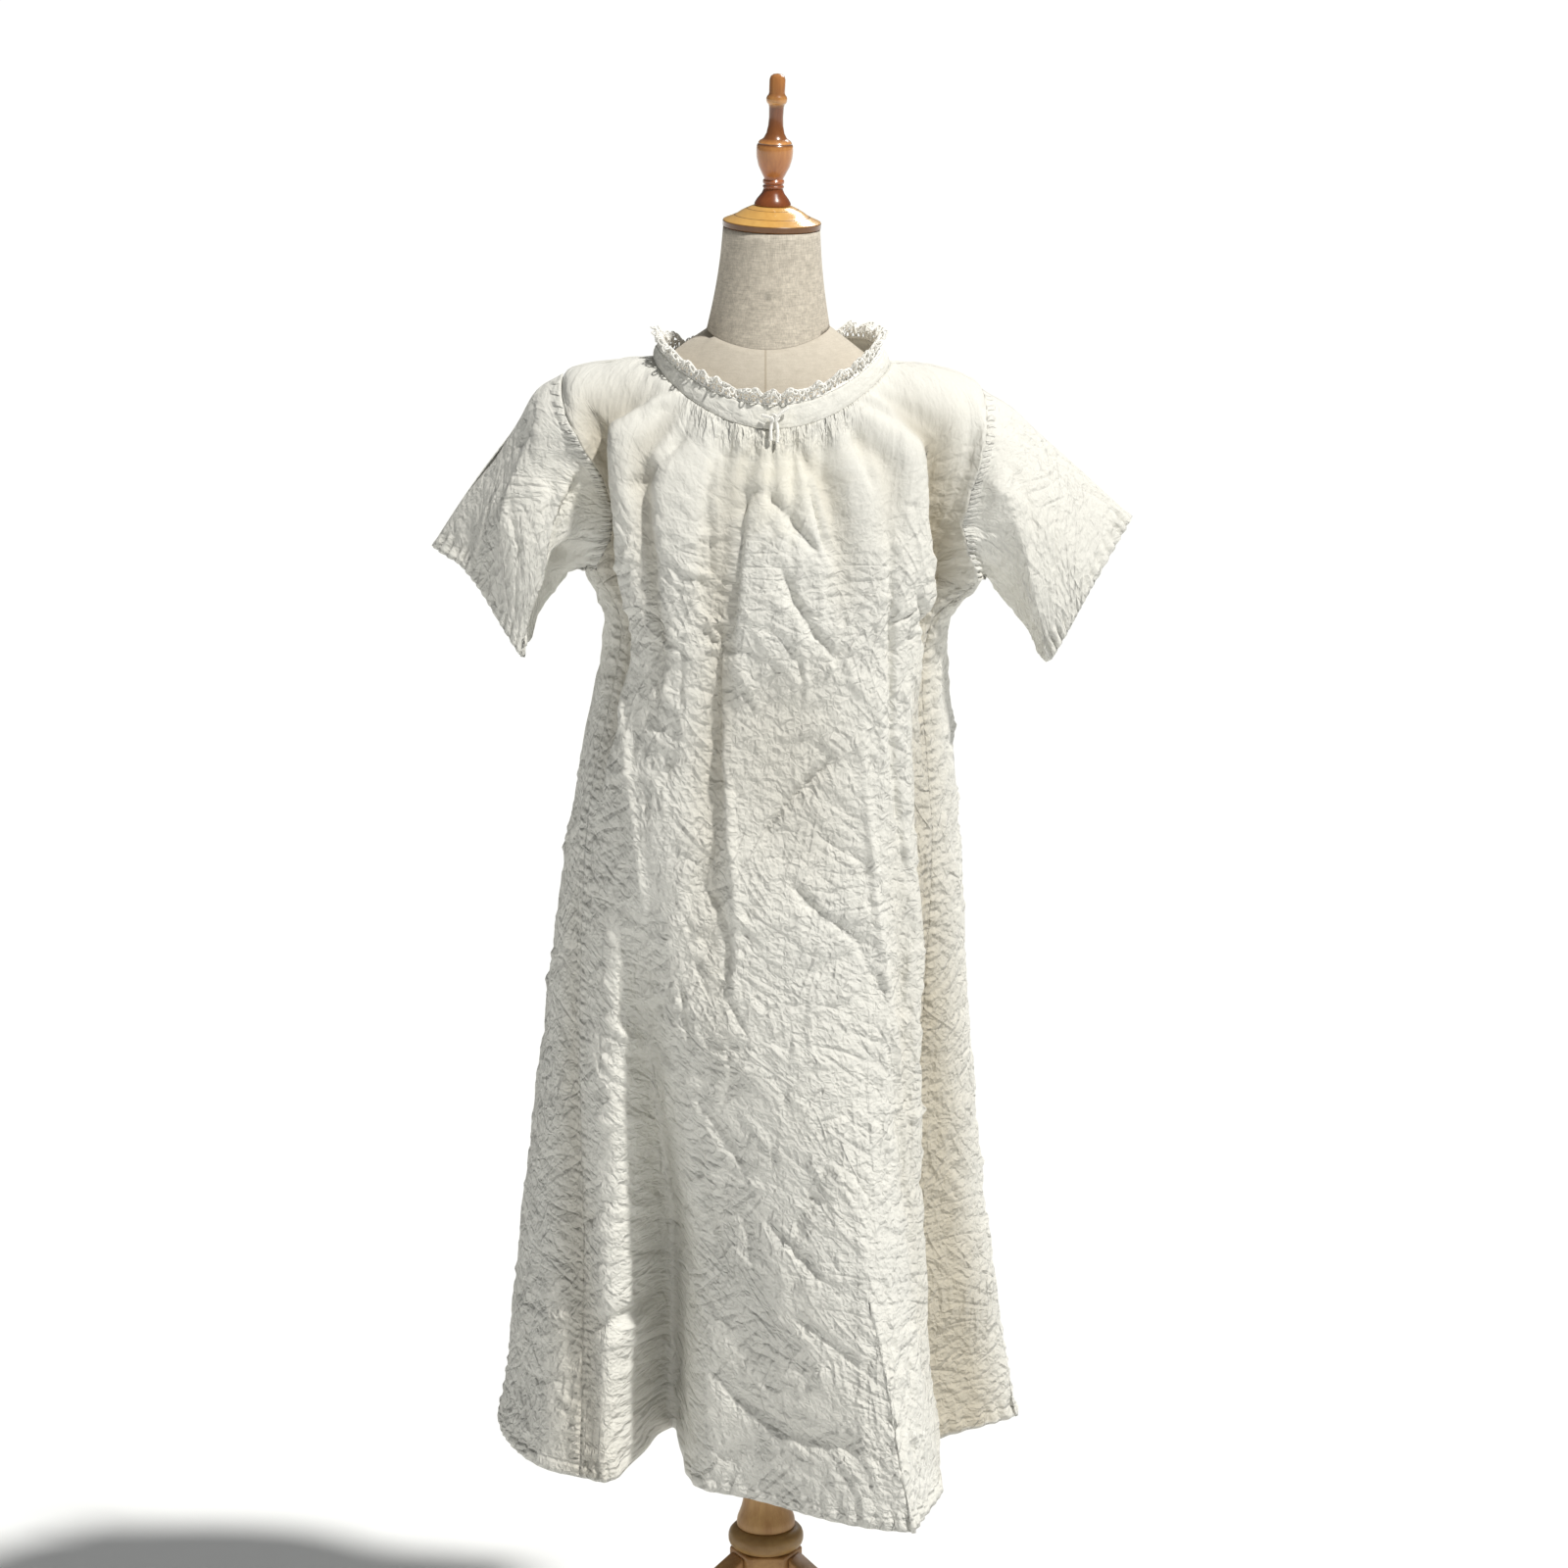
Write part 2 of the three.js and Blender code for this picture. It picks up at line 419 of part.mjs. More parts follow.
function lace(band) {
  const top = band.grid[2], below = band.grid[1], out = band.normals[2], count = top.length;
  const cols = LACE_WAVES * 4;
  const spot = (list, u) => {
    const k = Math.floor(u * count) % count, t = u * count - Math.floor(u * count);
    return list[k].clone().lerp(list[(k + 1) % count], t);
  };
  const row = (height) => Array.from({ length: cols }, (_, c) => {
    const u = c / cols, base = spot(top, u), n = spot(out, u).normalize();
    const up = base.clone().sub(spot(below, u)).normalize();
    const reach = height / LACE_HEIGHT;
    const sway = LACE_RUFFLE * reach * [0, 1, 0, -1][c % 4] * (1 + 0.25 * Math.sin(c * 1.7));
    return base.addScaledVector(up, height).addScaledVector(n, sway + 1.6 * reach);
  });
  const foot = Array.from({ length: cols }, (_, c) => spot(out, c / cols).normalize());
  return { name: 'lace_edging', grid: [row(GAP), row(LACE_HEIGHT)], closed: true, sign: 1,
    wall: LACE_WALL, foot };
}

function cord(name, points, radius, colour) {
  const section = new THREE.Shape().absarc(0, 0, radius, 0, 2 * Math.PI);
  const geometry = new THREE.ExtrudeGeometry(section, { steps: 8, curveSegments: 8,
    extrudePath: new THREE.CatmullRomCurve3(points), bevelEnabled: false });
  return coloured(name, geometry, colour, 0.9);
}

function tie() {
  const knot = V(6, -103.6, 1380), white = 0xefece0;
  const bead = turned('drawstring_knot', KNOT_PROFILE, 12, white);
  bead.geometry.rotateY(rad(80)).translate(knot.x, knot.y, knot.z);
  const drop = (name, side, fall) => cord(name, [
    V(knot.x + side * 2.2, knot.y - 1, knot.z - 4.5),
    V(knot.x + side * 2.9, knot.y - 3.6, knot.z - 9),
    V(knot.x + side * 3.1, knot.y - 6.2, knot.z - 14),
    V(knot.x + side * 2.6, knot.y - 8.7, knot.z - fall)], CORD_R, white);
  return [bead, drop('drawstring_end_right', -1, 19), drop('drawstring_end_left', 1, 21)];
}

// ---------------------------------------------------------------- dress form and stand
function turned(name, profile, cols, colour, roughness = 0.5) {
  const outline = profile.map(([height, radius]) => new THREE.Vector2(radius, height));
  return coloured(name, new THREE.LatheGeometry(outline, cols).rotateX(Math.PI / 2), colour, roughness);
}

function lofted(name, rings, topHeart, footHeart, colour) {
  const cols = rings[0].length, spots = [], faces = [];
  for (const loop of rings) for (const p of loop) spots.push(p.x, p.y, p.z);
  spots.push(...topHeart.toArray(), ...footHeart.toArray());
  const top = rings.length * cols, foot = top + 1, lastRow = (rings.length - 1) * cols;
  for (let k = 0; k < cols; k += 1) {
    const n = (k + 1) % cols;
    faces.push(top, k, n, foot, lastRow + n, lastRow + k);
    for (let j = 0; j < rings.length - 1; j += 1) {
      const a = j * cols + k, b = j * cols + n;
      faces.push(a, a + cols, b + cols, a, b + cols, b);
    }
  }
  return solid(name, spots, faces, colour, 0.85);
}

const loopOf = (r) => Array.from({ length: TORSO_COLS }, (_, k) => ringPoint(r, 360 * k / TORSO_COLS));

function torso() {
  return lofted('form_torso', TORSO_RINGS.map(loopOf), V(0, 0, 1443.5), V(0, 0, 800), 0xd8cdb8);
}

function neck() {
  const level = (z, r, x) => ring('neck', 0, V(x - r, 0, z), V(x, -r, z), V(x + r, 0, z),
    V(x, r, z), V(1, 1, 1));
  const rings = [level(NECK_TOP, 44.6, NECK_X), level(1512, 46.2, 2.8), level(1485, 49.4, 1.9),
    level(1460, 53.8, 1)].map(loopOf);
  for (const p of rings[0]) p.z -= (p.x - NECK_X) * TAN_LEAN;
  const seam = loopOf(TORSO_RINGS[0]).map((p) => p.add(V(0, 0, GAP)));
  return lofted('form_neck', [...rings, seam], V(NECK_X, 0, NECK_TOP), V(0, 0, 1443.5 + GAP), 0xb9b2a6);
}

function leaned(mesh, height) {
  mesh.geometry.translate(0, 0, height).rotateY(rad(LEAN)).translate(NECK_X, 0, NECK_TOP);
  return mesh;
}

function hub() {
  const shape = new THREE.Shape(), corner = HUB_APOTHEM / Math.cos(rad(30));
  for (let k = 0; k < 6; k += 1) {
    const a = rad(60 * k);
    if (k === 0) shape.moveTo(corner * Math.cos(a), corner * Math.sin(a));
    else shape.lineTo(corner * Math.cos(a), corner * Math.sin(a));
  }
  const height = RING_Z - 11 - GAP - HUB_FOOT;
  const geometry = new THREE.ExtrudeGeometry(shape, { depth: height, bevelEnabled: false });
  return coloured('tripod_hub', geometry.translate(0, 0, HUB_FOOT), 0x7a4a25, 0.5);
}

function leg(name, heading) {
  const start = HUB_APOTHEM + GAP, shape = new THREE.Shape();
  shape.moveTo(start, 240);
  shape.bezierCurveTo(start + 95, 186, start + 150, 108, LEG_REACH - 38, 34);
  shape.bezierCurveTo(LEG_REACH - 26, 12, LEG_REACH - 12, 6, LEG_REACH, 5);
  shape.lineTo(LEG_REACH, 0);
  shape.lineTo(LEG_REACH - 70, 0);
  shape.bezierCurveTo(LEG_REACH - 96, 44, start + 60, 134, start, 160);
  shape.closePath();
  const geometry = new THREE.ExtrudeGeometry(shape, { depth: LEG_THICK, bevelEnabled: false,
    curveSegments: 9 });
  geometry.translate(0, 0, -LEG_THICK / 2).rotateX(Math.PI / 2).rotateZ(rad(heading));
  return coloured(name, geometry, 0xb98a55, 0.5);
}

// ---------------------------------------------------------------- assembly
function dress() {
  const rows = stations(), low = rows.slice(3 + ARMHOLE_STEPS);
  const ahead = (at) => straight(FRONT_EDGE, at), behind = (at) => straight(BACK_EDGE, at);
  const front = panel('dress_front', rows, FRONT_COLS, (s) => -ahead(s), ahead, crowded);
  const back = panel('dress_back', rows, BACK_COLS, behind, (s) => 360 - behind(s));
  const goreLeft = panel('gore_left', low, GORE_COLS, ahead, behind);
  const goreRight = panel('gore_right', low, GORE_COLS, (s) => -behind(s), (s) => -ahead(s));
  const sleeveLeft = sleeve('sleeve_left', armhole(front, goreLeft, back, true), SLEEVES.left, true);
  const sleeveRight = sleeve('sleeve_right', armhole(front, goreRight, back, false), SLEEVES.right, false);
  const band = neckband(front, back);
  const sheets = [front, back, goreLeft, goreRight, sleeveLeft, sleeveRight, band];
  sew(sheets);
  const edging = lace(band);
  sew([edging]);
  return [...sheets.map((s) => sheetMesh(s, 0xebe6d6)), sheetMesh(edging, 0xf2efe6), ...tie()];
}

function stand() {
  const bead = turned('pole_ring', RING_PROFILE, 24, 0x9a6a38);
  bead.geometry.translate(0, 0, RING_Z);
  const lower = [turned('pole', POLE_PROFILE, 24, 0xc9a274), bead, hub(),
    leg('leg_back', 90), leg('leg_right', 210), leg('leg_left', 330)];
  for (const mesh of lower) mesh.geometry.translate(STAND_X, 0, 0);
  return [
    torso(), neck(),
    leaned(turned('neck_cap', CAP_PROFILE, 28, 0xc58a3a), GAP),
    leaned(turned('finial', FINIAL_PROFILE, 16, 0x6b3a1e), CAP_HEIGHT + 2 * GAP),
    ...lower,
  ];
}

const group = new THREE.Group();
group.name = 'lace_dress_on_form';
for (const mesh of [...dress(), ...stand()]) group.add(mesh);
const box = new THREE.Box3().setFromObject(group), middle = box.getCenter(V(0, 0, 0));
for (const mesh of group.children) mesh.geometry.translate(-middle.x, -middle.y, -box.min.z);

export default group;
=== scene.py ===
"""A gathered chemise with a crocheted neck edging on a limbless dress form with a wooden stand.

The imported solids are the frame. Every size is in millimetres from the pole's own axis until a
mesh is made: front is -Y, up is +Z and the wearer's left is +X."""
import math

import bmesh
import bpy
import numpy as np
from bpy.props import FloatProperty, FloatVectorProperty, PointerProperty
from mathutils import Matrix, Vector


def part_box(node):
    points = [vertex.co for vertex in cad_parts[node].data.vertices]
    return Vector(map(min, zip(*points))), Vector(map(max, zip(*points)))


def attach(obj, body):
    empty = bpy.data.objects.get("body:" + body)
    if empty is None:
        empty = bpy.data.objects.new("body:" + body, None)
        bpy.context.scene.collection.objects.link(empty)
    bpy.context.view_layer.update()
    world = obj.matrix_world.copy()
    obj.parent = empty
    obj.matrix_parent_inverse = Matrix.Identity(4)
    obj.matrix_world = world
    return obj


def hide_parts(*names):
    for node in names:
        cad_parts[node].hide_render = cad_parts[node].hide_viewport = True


bl_info = {
    "name": "Lace dress on a dress form",
    "version": (1, 0, 0),
    "blender": (4, 5, 0),
    "location": "View3D > Sidebar > Dress",
    "description": "Builds a crumpled chemise, its crocheted edging, the form and its stand",
    "category": "Add Mesh",
}

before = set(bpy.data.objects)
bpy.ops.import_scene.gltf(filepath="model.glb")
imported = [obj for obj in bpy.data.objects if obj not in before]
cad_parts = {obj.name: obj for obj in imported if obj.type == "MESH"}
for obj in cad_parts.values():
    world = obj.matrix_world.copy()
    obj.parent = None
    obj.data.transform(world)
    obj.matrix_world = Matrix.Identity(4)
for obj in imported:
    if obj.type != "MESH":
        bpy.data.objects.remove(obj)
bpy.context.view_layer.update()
MM = 0.001
STAND_X = -3                         # the pole stands a little to the wearer's right of the dress
pole_low, pole_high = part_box("pole")
ORIGIN = np.array([(pole_low.x + pole_high.x) / 2 / MM - STAND_X,
                   (pole_low.y + pole_high.y) / 2 / MM, 0])

# ------------------------------------------------------------------ the dress as drawn sections
def section(at, left, front, right, back, ease):
    """One closed ring of the dress: its four compass points and how boxy its quarters are."""
    return at, np.array([*left, *front, *right, *back, *ease], float)


DRESS_SECTIONS = [
    section(0, (-104, 0, 1417), (6, -100, 1369), (111, 0, 1412), (4, 84, 1389), (1, 1, 1)),
    section(29, (-146, 0, 1413), (5, -113, 1344), (153, 0, 1409), (4, 99, 1369), (.94, .94, .94)),
    section(58, (-187, 0, 1401), (4, -124, 1318), (196, 0, 1388), (4, 112, 1346), (.9, .9, .9)),
    section(120, (-186, 0, 1314), (3, -136, 1261), (201, 0, 1306), (4, 122, 1286), (.85, .85, .86)),
    section(185, (-172, 0, 1232), (2, -140, 1203), (196, 0, 1228), (4, 122, 1218), (.85, .85, .86)),
    section(235, (-151, 2, 1181), (2, -140, 1157), (168, 2, 1181), (4, 118, 1168), (.82, .82, .86)),
    section(350, (-174, 8, 1046), (4, -138, 1030), (173, 8, 1046), (4, 113, 1040), (.8, .8, .88)),
    section(520, (-201, 20, 870), (24, -142, 852), (186, 14, 870), (4, 125, 862), (.84, .86, .9)),
    section(780, (-235, 44, 602), (88, -166, 590), (205, 40, 608), (2, 147, 600), (1, 1.4, .9)),
    section(1030, (-266, 76, 351), (135, -206, 344), (245, 68, 351), (0, 168, 357), (.98, 2.2, .9)),
]
NECK_EDGE = section(-28, (-101, 0, 1429), (6, -94, 1389), (104, 0, 1425), (4, 73, 1414), (1, 1, 1))
# Where a panel ends: stations down the dress, and the angle from the front at each.
FRONT_EDGE = ((0, 58, 71, 84, 109, 135, 160, 185, 235, 350, 520, 780, 1030),
              (90, 90, 75, 68, 63, 61, 64, 71, 68, 66, 61, 57, 54))
BACK_EDGE = ((0, 58, 71, 84, 109, 135, 160, 185, 350, 780, 1030),
             (90, 90, 104, 111, 116, 117, 112, 101, 101, 100, 99))

# Large folds: a direction to push in (None is inwards), how much the half width is stretched on the
# side of lower and of higher angles, and rows of (station, angle, depth, half width).
BIG_FOLDS = [
    (None, 1.4, .45, [(6, -58, 0, 8), (40, -55, 16, 9), (100, -54, 33, 10), (170, -56, 33, 9),
                      (260, -58, 18, 7), (380, -60, 0, 5)]),
    (None, 1, .6, [(4, -44, 0, 5), (35, -38, 9, 5), (90, -34, 13, 5), (180, -34, 9, 5),
                   (300, -36, 0, 5)]),
    (None, 1.2, .5, [(10, -9, 0, 5), (70, -9, 10, 5), (200, -12, 14, 6), (350, -13, 10, 6),
                     (640, -16, 0, 6)]),
    (None, .5, 1.2, [(4, 8, 0, 4), (60, 12, 11, 4), (220, 17, 0, 4)]),
    (None, 1, 1, [(4, 31, 0, 4), (50, 30, 9, 4), (150, 30, 0, 5)]),
    (None, .5, 1.3, [(6, 55, 0, 7), (45, 49, 18, 7), (110, 49, 34, 7), (180, 54, 34, 7),
                     (270, 63, 16, 7), (400, 66, 0, 7)]),
    ((.25, -1, 0), .7, 1.2, [(50, 76, 0, 8), (90, 69, 28, 7), (140, 66, 40, 7), (185, 73, 26, 9),
                             (260, 78, 0, 9)]),
    ((-.25, -1, 0), 1.2, .6, [(40, -74, 0, 8), (80, -69, 16, 8), (115, -70, 20, 8),
                              (160, -75, 10, 8), (215, -80, 0, 9)]),
    (None, .45, 1.2, [(240, 56, 0, 12), (330, 55, 14, 13), (450, 54, 22, 14), (600, 54, 34, 15),
                      (800, 51, 48, 16), (1030, 48, 66, 16)]),
    ((.12, 1, 0), 1, 1, [(440, -36, 0, 6), (540, -36, 26, 6), (700, -37, 66, 5.5),
                         (860, -38.5, 112, 5), (1030, -39.5, 158, 4.6)]),
    ((.2, 1, 0), 1, 1, [(480, -30, 0, 16), (700, -29, 20, 17), (1030, -27, 62, 17)]),
    (None, 1, 1, [(300, 38, 0, 5), (480, 36, 5, 5), (800, 34, 6, 5), (1030, 34, 0, 5)]),
    (None, 1, 1, [(420, -66, 0, 5), (650, -62, 10, 5), (1030, -52, 14, 6)]),
    (None, 1, 1, [(210, 4, 0, 14), (285, 2, 7, 15), (370, 4, 6, 14), (450, 6, 0, 12)]),
    (None, 1, 1, [(300, 128, 0, 10), (700, 130, 16, 10), (1030, 130, 30, 10)]),
    (None, 1, 1, [(120, 158, 0, 9), (600, 158, 12, 10), (1030, 157, 34, 10)]),
    (None, 1, 1, [(60, 186, 0, 8), (500, 186, 10, 9), (1030, 188, 30, 10)]),
    (None, 1, 1, [(160, 212, 0, 9), (650, 213, 14, 9), (1030, 215, 34, 10)]),
    (None, 1, 1, [(320, 238, 0, 9), (760, 239, 14, 9), (1030, 240, 26, 9)]),
    (None, 1, 1, [(6, 132, 0, 8), (90, 128, 14, 8), (260, 126, 0, 8)]),
    (None, 1, 1, [(6, 230, 0, 8), (90, 233, 14, 8), (260, 236, 0, 8)]),
]
SHOULDER_AT, ARMPIT_AT, HEM_AT = 58, 185, 1030
GATHER_PITCH, GATHER_DEPTH = 12.5, 2.6
VALLEY_PHI, CROWD_SPREAD, CROWD_PULL = -37, 15, 9


def hermite(keys, at):
    """Smooth interpolation of rows (station, values) at one station."""
    stations = [key[0] for key in keys]
    k = min(max(int(np.searchsorted(stations, at)) - 1, 0), len(keys) - 2)
    a, b = keys[k], keys[k + 1]
    before, after = keys[max(k - 1, 0)], keys[min(k + 2, len(keys) - 1)]
    span = b[0] - a[0]
    t = min(max((at - a[0]) / span, 0), 1)
    slope_a = (b[1] - before[1]) / (b[0] - before[0])
    slope_b = (after[1] - a[1]) / (after[0] - a[0])
    return ((2 * t**3 - 3 * t**2 + 1) * a[1] + (t**3 - 2 * t**2 + t) * span * slope_a
            + (3 * t**2 - 2 * t**3) * b[1] + (t**3 - t**2) * span * slope_b)


def wrapped(phi):
    """Angles brought to between -180 and 180."""
    return (phi + 180) % 360 - 180


def ring_points(ring, phi):
    """Points of one section at the angles phi: 0 is the front, 90 the wearer's left."""
    left, front, right, back, ease = np.split(ring, 5)
    p = wrapped(phi)
    turn = np.abs(p)
    ahead = turn <= 90
    side = np.where((p >= 0)[:, None], right, left)
    mid = np.where(ahead[:, None], front, back)
    power = np.where(ahead, np.where(p >= 0, ease[1], ease[0]), ease[2])
    angle = np.radians(np.where(ahead, turn, 180 - turn))
    sine, cosine = np.sin(angle), np.maximum(np.cos(angle), 0)
    x = mid[:, 0] + (side[:, 0] - mid[:, 0]) * sine**power
    y = side[:, 1] + (mid[:, 1] - side[:, 1]) * cosine**power
    z = side[:, 2] + (mid[:, 2] - side[:, 2]) * cosine**2
    return np.stack([x, y, z], 1)


def plain_row(phi, at):
    """One row of the body before folds and gathers push it."""
    return ring_points(hermite(DRESS_SECTIONS, at), phi)


def unit(v):
    """Vectors made one long."""
    return v / np.maximum(np.linalg.norm(v, axis=-1, keepdims=True), 1e-9)


def ramp(x, low, high):
    """A soft step from 0 at low to 1 at high."""
    t = np.clip((x - low) / (high - low), 0, 1)
    return t * t * (3 - 2 * t)


def draped_row(phi, at):
    """One row of the draped body: the plain section pushed by the large folds and gathers."""
    across = plain_row(phi + 1, at) - plain_row(phi - 1, at)
    down = plain_row(phi, min(at + 4, HEM_AT)) - plain_row(phi, max(at - 4, 0))
    normal = unit(np.cross(down, across))
    points = plain_row(phi, at)
    for toward, below, above, path in BIG_FOLDS:
        if at <= path[0][0] or (at >= path[-1][0] and path[-1][2] == 0):
            continue
        middle, depth, width = hermite([(k[0], np.array(k[1:], float)) for k in path], at)
        off = wrapped(phi - middle)
        side = width * np.where(off < 0, below, above)
        amount = max(depth, 0) * np.exp(-(off / side) ** 2)
        push = -normal if toward is None else unit(np.array(toward, float))
        points = points + push * amount[:, None]
    p = wrapped(phi)
    fade = min(at / 16, 1) * np.exp(-max(at - 16, 0) / 42)
    reach = ramp(62 - np.abs(p), 0, 14) + 0.6 * ramp(np.abs(p) - 125, 0, 20)
    wave = np.cos(np.radians(360 * (p + 2.5 * np.sin(np.radians(7 * p))) / GATHER_PITCH))
    return points + normal * (GATHER_DEPTH * fade * reach * wave)[:, None]


def fold_depth(phi, at):
    """How deep the large folds lie at the angles phi, from 0 to 1; this is the mask of the shade painted
    into the deep folds.
    """
    depth = np.zeros_like(phi)
    for toward, below, above, path in BIG_FOLDS:
        if toward is None and path[0][0] < at < path[-1][0]:
            middle, deep, width = hermite([(k[0], np.array(k[1:], float)) for k in path], at)
            off = wrapped(phi - middle)
            side = 1.05 * width * np.where(off < 0, below, above)
            depth += max(deep, 0) * np.exp(-(off / side) ** 2)
    return np.clip(depth / 25, 0, 1)


def crowd(phi, share, at):
    """Draws the front's columns together where the skirt valley needs them."""
    x = (phi - VALLEY_PHI) / CROWD_SPREAD
    strength = CROWD_PULL * ramp(at, 420, 760) * np.sin(np.pi * share) ** 0.5
    return phi - strength * x * np.exp(-x * x)


# ------------------------------------------------------------------ cloth grids
def edge_of(table, at):
    """The angle of a panel's edge at one station."""
    return float(np.interp(at, *table))


def body_grid(stations, columns, start, stop, arrange=None):
    """Points of one body panel and the cloth coordinates (across, down) of each, in mm."""
    share = np.linspace(0, 1, columns + 1)
    rows, across, painted_fold_shade = [], [], []
    for at in stations:
        phi = start(at) + (stop(at) - start(at)) * share
        if arrange:
            phi = arrange(phi, share, at)
        row = draped_row(phi, at)
        rows.append(row)
        # How deep the folds lie here, kept as the mask of the painted fold shade.
        painted_fold_shade.append(fold_depth(phi, at))
        steps = np.linalg.norm(np.diff(plain_row(phi, at), axis=0), axis=1)
        length = np.concatenate([[0], np.cumsum(steps)])
        across.append(length - np.interp(0.5 * (start(at) + stop(at)), phi, length))
    down = np.repeat(np.array(stations, float)[:, None], columns + 1, axis=1)
    return np.array(rows), np.array(across), down, np.array(painted_fold_shade)


def grid_normals(points, closed=False):
    """Unit normals of a grid of points, pointing out of the dress."""
    down = np.gradient(points, axis=0)
    if closed:
        across = np.roll(points, -1, 1) - np.roll(points, 1, 1)
    else:
        across = np.gradient(points, axis=1)
    return unit(np.cross(down, across))


def lattice_noise(across, down, cell, rng):
    """Smooth random heights from -1 to 1 with bumps about one cell apart."""
    u = across / cell + 400
    v = down / cell + 400
    u = u - math.floor(u.min())
    v = v - math.floor(v.min())
    heights = rng.uniform(-1, 1, (int(v.max()) + 3, int(u.max()) + 3))
    i, j = u.astype(int), v.astype(int)
    s, t = ramp(u - i, 0, 1), ramp(v - j, 0, 1)
    low = heights[j, i] * (1 - s) + heights[j, i + 1] * s
    high = heights[j + 1, i] * (1 - s) + heights[j + 1, i + 1] * s
    return low * (1 - t) + high * t


def crumpled(across, down, rng):
    """Heights of the fine crumple that washing leaves: broad dents with sharp little crests."""
    warp_u = across + 9 * lattice_noise(across, down, 46, rng)
    warp_v = down + 9 * lattice_noise(across, down, 46, rng)
    height = 3.4 * lattice_noise(across, down, 80, rng)
    for cell, depth, lean in ((38, 1.3, 0.6), (21, 0.9, -0.7), (13, 0.55, 0.35), (8, 0.3, 0)):
        turned_u = warp_u + lean * warp_v
        crest = lattice_noise(turned_u, warp_v - lean * warp_u, cell * 1.25, rng)
        height = height + depth * (0.45 - 1.6 * np.abs(crest))
    return height


def crease_height(across, down, path, depth, width):
    """A soft trough (depth below zero) or ridge along a bent line, tapered at its ends."""
    height = np.zeros_like(across)
    path = np.array(path, float)
    steps = np.linalg.norm(np.diff(path, axis=0), axis=1)
    total = steps.sum()
    done = 0
    for a, b, step in zip(path[:-1], path[1:], steps):
        low, high = np.minimum(a, b) - 3.2 * width, np.maximum(a, b) + 3.2 * width
        near = (across > low[0]) & (across < high[0]) & (down > low[1]) & (down < high[1])
        if near.any():
            rel = np.stack([across[near] - a[0], down[near] - a[1]], -1)
            t = np.clip(rel @ (b - a) / step**2, 0, 1)
            off = np.linalg.norm(rel - t[:, None] * (b - a), axis=1)
            along = (done + t * step) / total
            taper = np.minimum(1, 4.5 * np.minimum(along, 1 - along) + 0.08)
            value = taper * np.exp(-(off / width) ** 2)
            height[near] = np.maximum(height[near], value)
        done += step
    return depth * height


def crease_path(across, down, turn, length, bend):
    """Points of a line on the cloth, from its start and its turn from straight down, bending on."""
    path = [(across, down)]
    for step in range(CREASE_STEPS):
        heading = math.radians(turn + bend * (step + 0.5) / CREASE_STEPS)
        across += length / CREASE_STEPS * math.sin(heading)
        down += length / CREASE_STEPS * math.cos(heading)
        path.append((across, down))
    return path


def random_creases(across, down, rng, count, longest, depth):
    """Many short bent creases, scattered over the cloth at all angles."""
    height = np.zeros_like(across)
    for _ in range(count):
        row, column = rng.integers(across.shape[0]), rng.integers(across.shape[1])
        here = np.array([across[row, column], down[row, column]])
        heading = rng.uniform(0, math.pi)
        length = longest * rng.uniform(0.25, 1)
        path = [here]
        for _ in range(3):
            heading += rng.normal(0, 0.28)
            here = here + length / 3 * np.array([math.cos(heading), math.sin(heading)])
            path.append(here)
        size = depth * rng.uniform(0.4, 1) * rng.choice([-1, 1, 1])
        height += crease_height(across, down, path, size, rng.uniform(2.0, 3.8))
    return height


def edge_distance(across, down, foot=True):
    """How far each point lies from the panel's edges, in mm."""
    far = np.minimum(across - across[:, :1], across[:, -1:] - across)
    far = np.minimum(far, down - down[:1])
    if foot:
        far = np.minimum(far, down[-1:] - down)
    return far


def seam_pucker(far, along, pitch, depth, reach):
    """Little waves that stitching draws along a seam or hem, strongest just beside the stitches."""
    jitter = 0.9 * np.sin(along / 17.3) + 0.6 * np.sin(along / 7.1 + 1)
    strength = 0.75 + 0.35 * np.sin(along / 41 + 2)
    wave = np.sin(2 * np.pi * along / pitch + jitter)
    return depth * strength * wave * np.exp(-((far - reach * 0.6) / reach) ** 2) * ramp(far, 0, 2)


# ------------------------------------------------------------------ making meshes
def deselect():
    if bpy.context.object and bpy.context.object.mode != "OBJECT":
        bpy.ops.object.mode_set(mode="OBJECT")
    bpy.ops.object.select_all(action="DESELECT")


def make_active(piece):
    deselect()
    piece.select_set(True)
    bpy.context.view_layer.objects.active = piece


def in_edit_mode(piece, *steps):
    """Runs edit-mode operators on all of a piece."""
    make_active(piece)
    bpy.ops.object.mode_set(mode="EDIT")
    bpy.ops.mesh.select_all(action="SELECT")
    for step in steps:
        step()
    bpy.ops.object.mode_set(mode="OBJECT")


def apply_modifier(piece, kind, **settings):
    make_active(piece)
    modifier = piece.modifiers.new(kind.lower(), kind)
    for key, value in settings.items():
        setattr(modifier, key, value)
    bpy.ops.object.modifier_apply(modifier=modifier.name)


def smooth(piece, angle=None):
    make_active(piece)
    if angle is None:
        bpy.ops.object.shade_smooth()
    else:
        bpy.ops.object.shade_smooth_by_angle(angle=math.radians(angle))


def finished(piece, name, material, slot, *replaced):
    """Names a piece, gives it its one material and tells the frame about it."""
    piece.name = name
    piece.data.name = name
    piece.data.materials.clear()
    piece.data.materials.append(material)
    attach(piece, "root")
    if replaced:
        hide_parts(*replaced)
    return piece


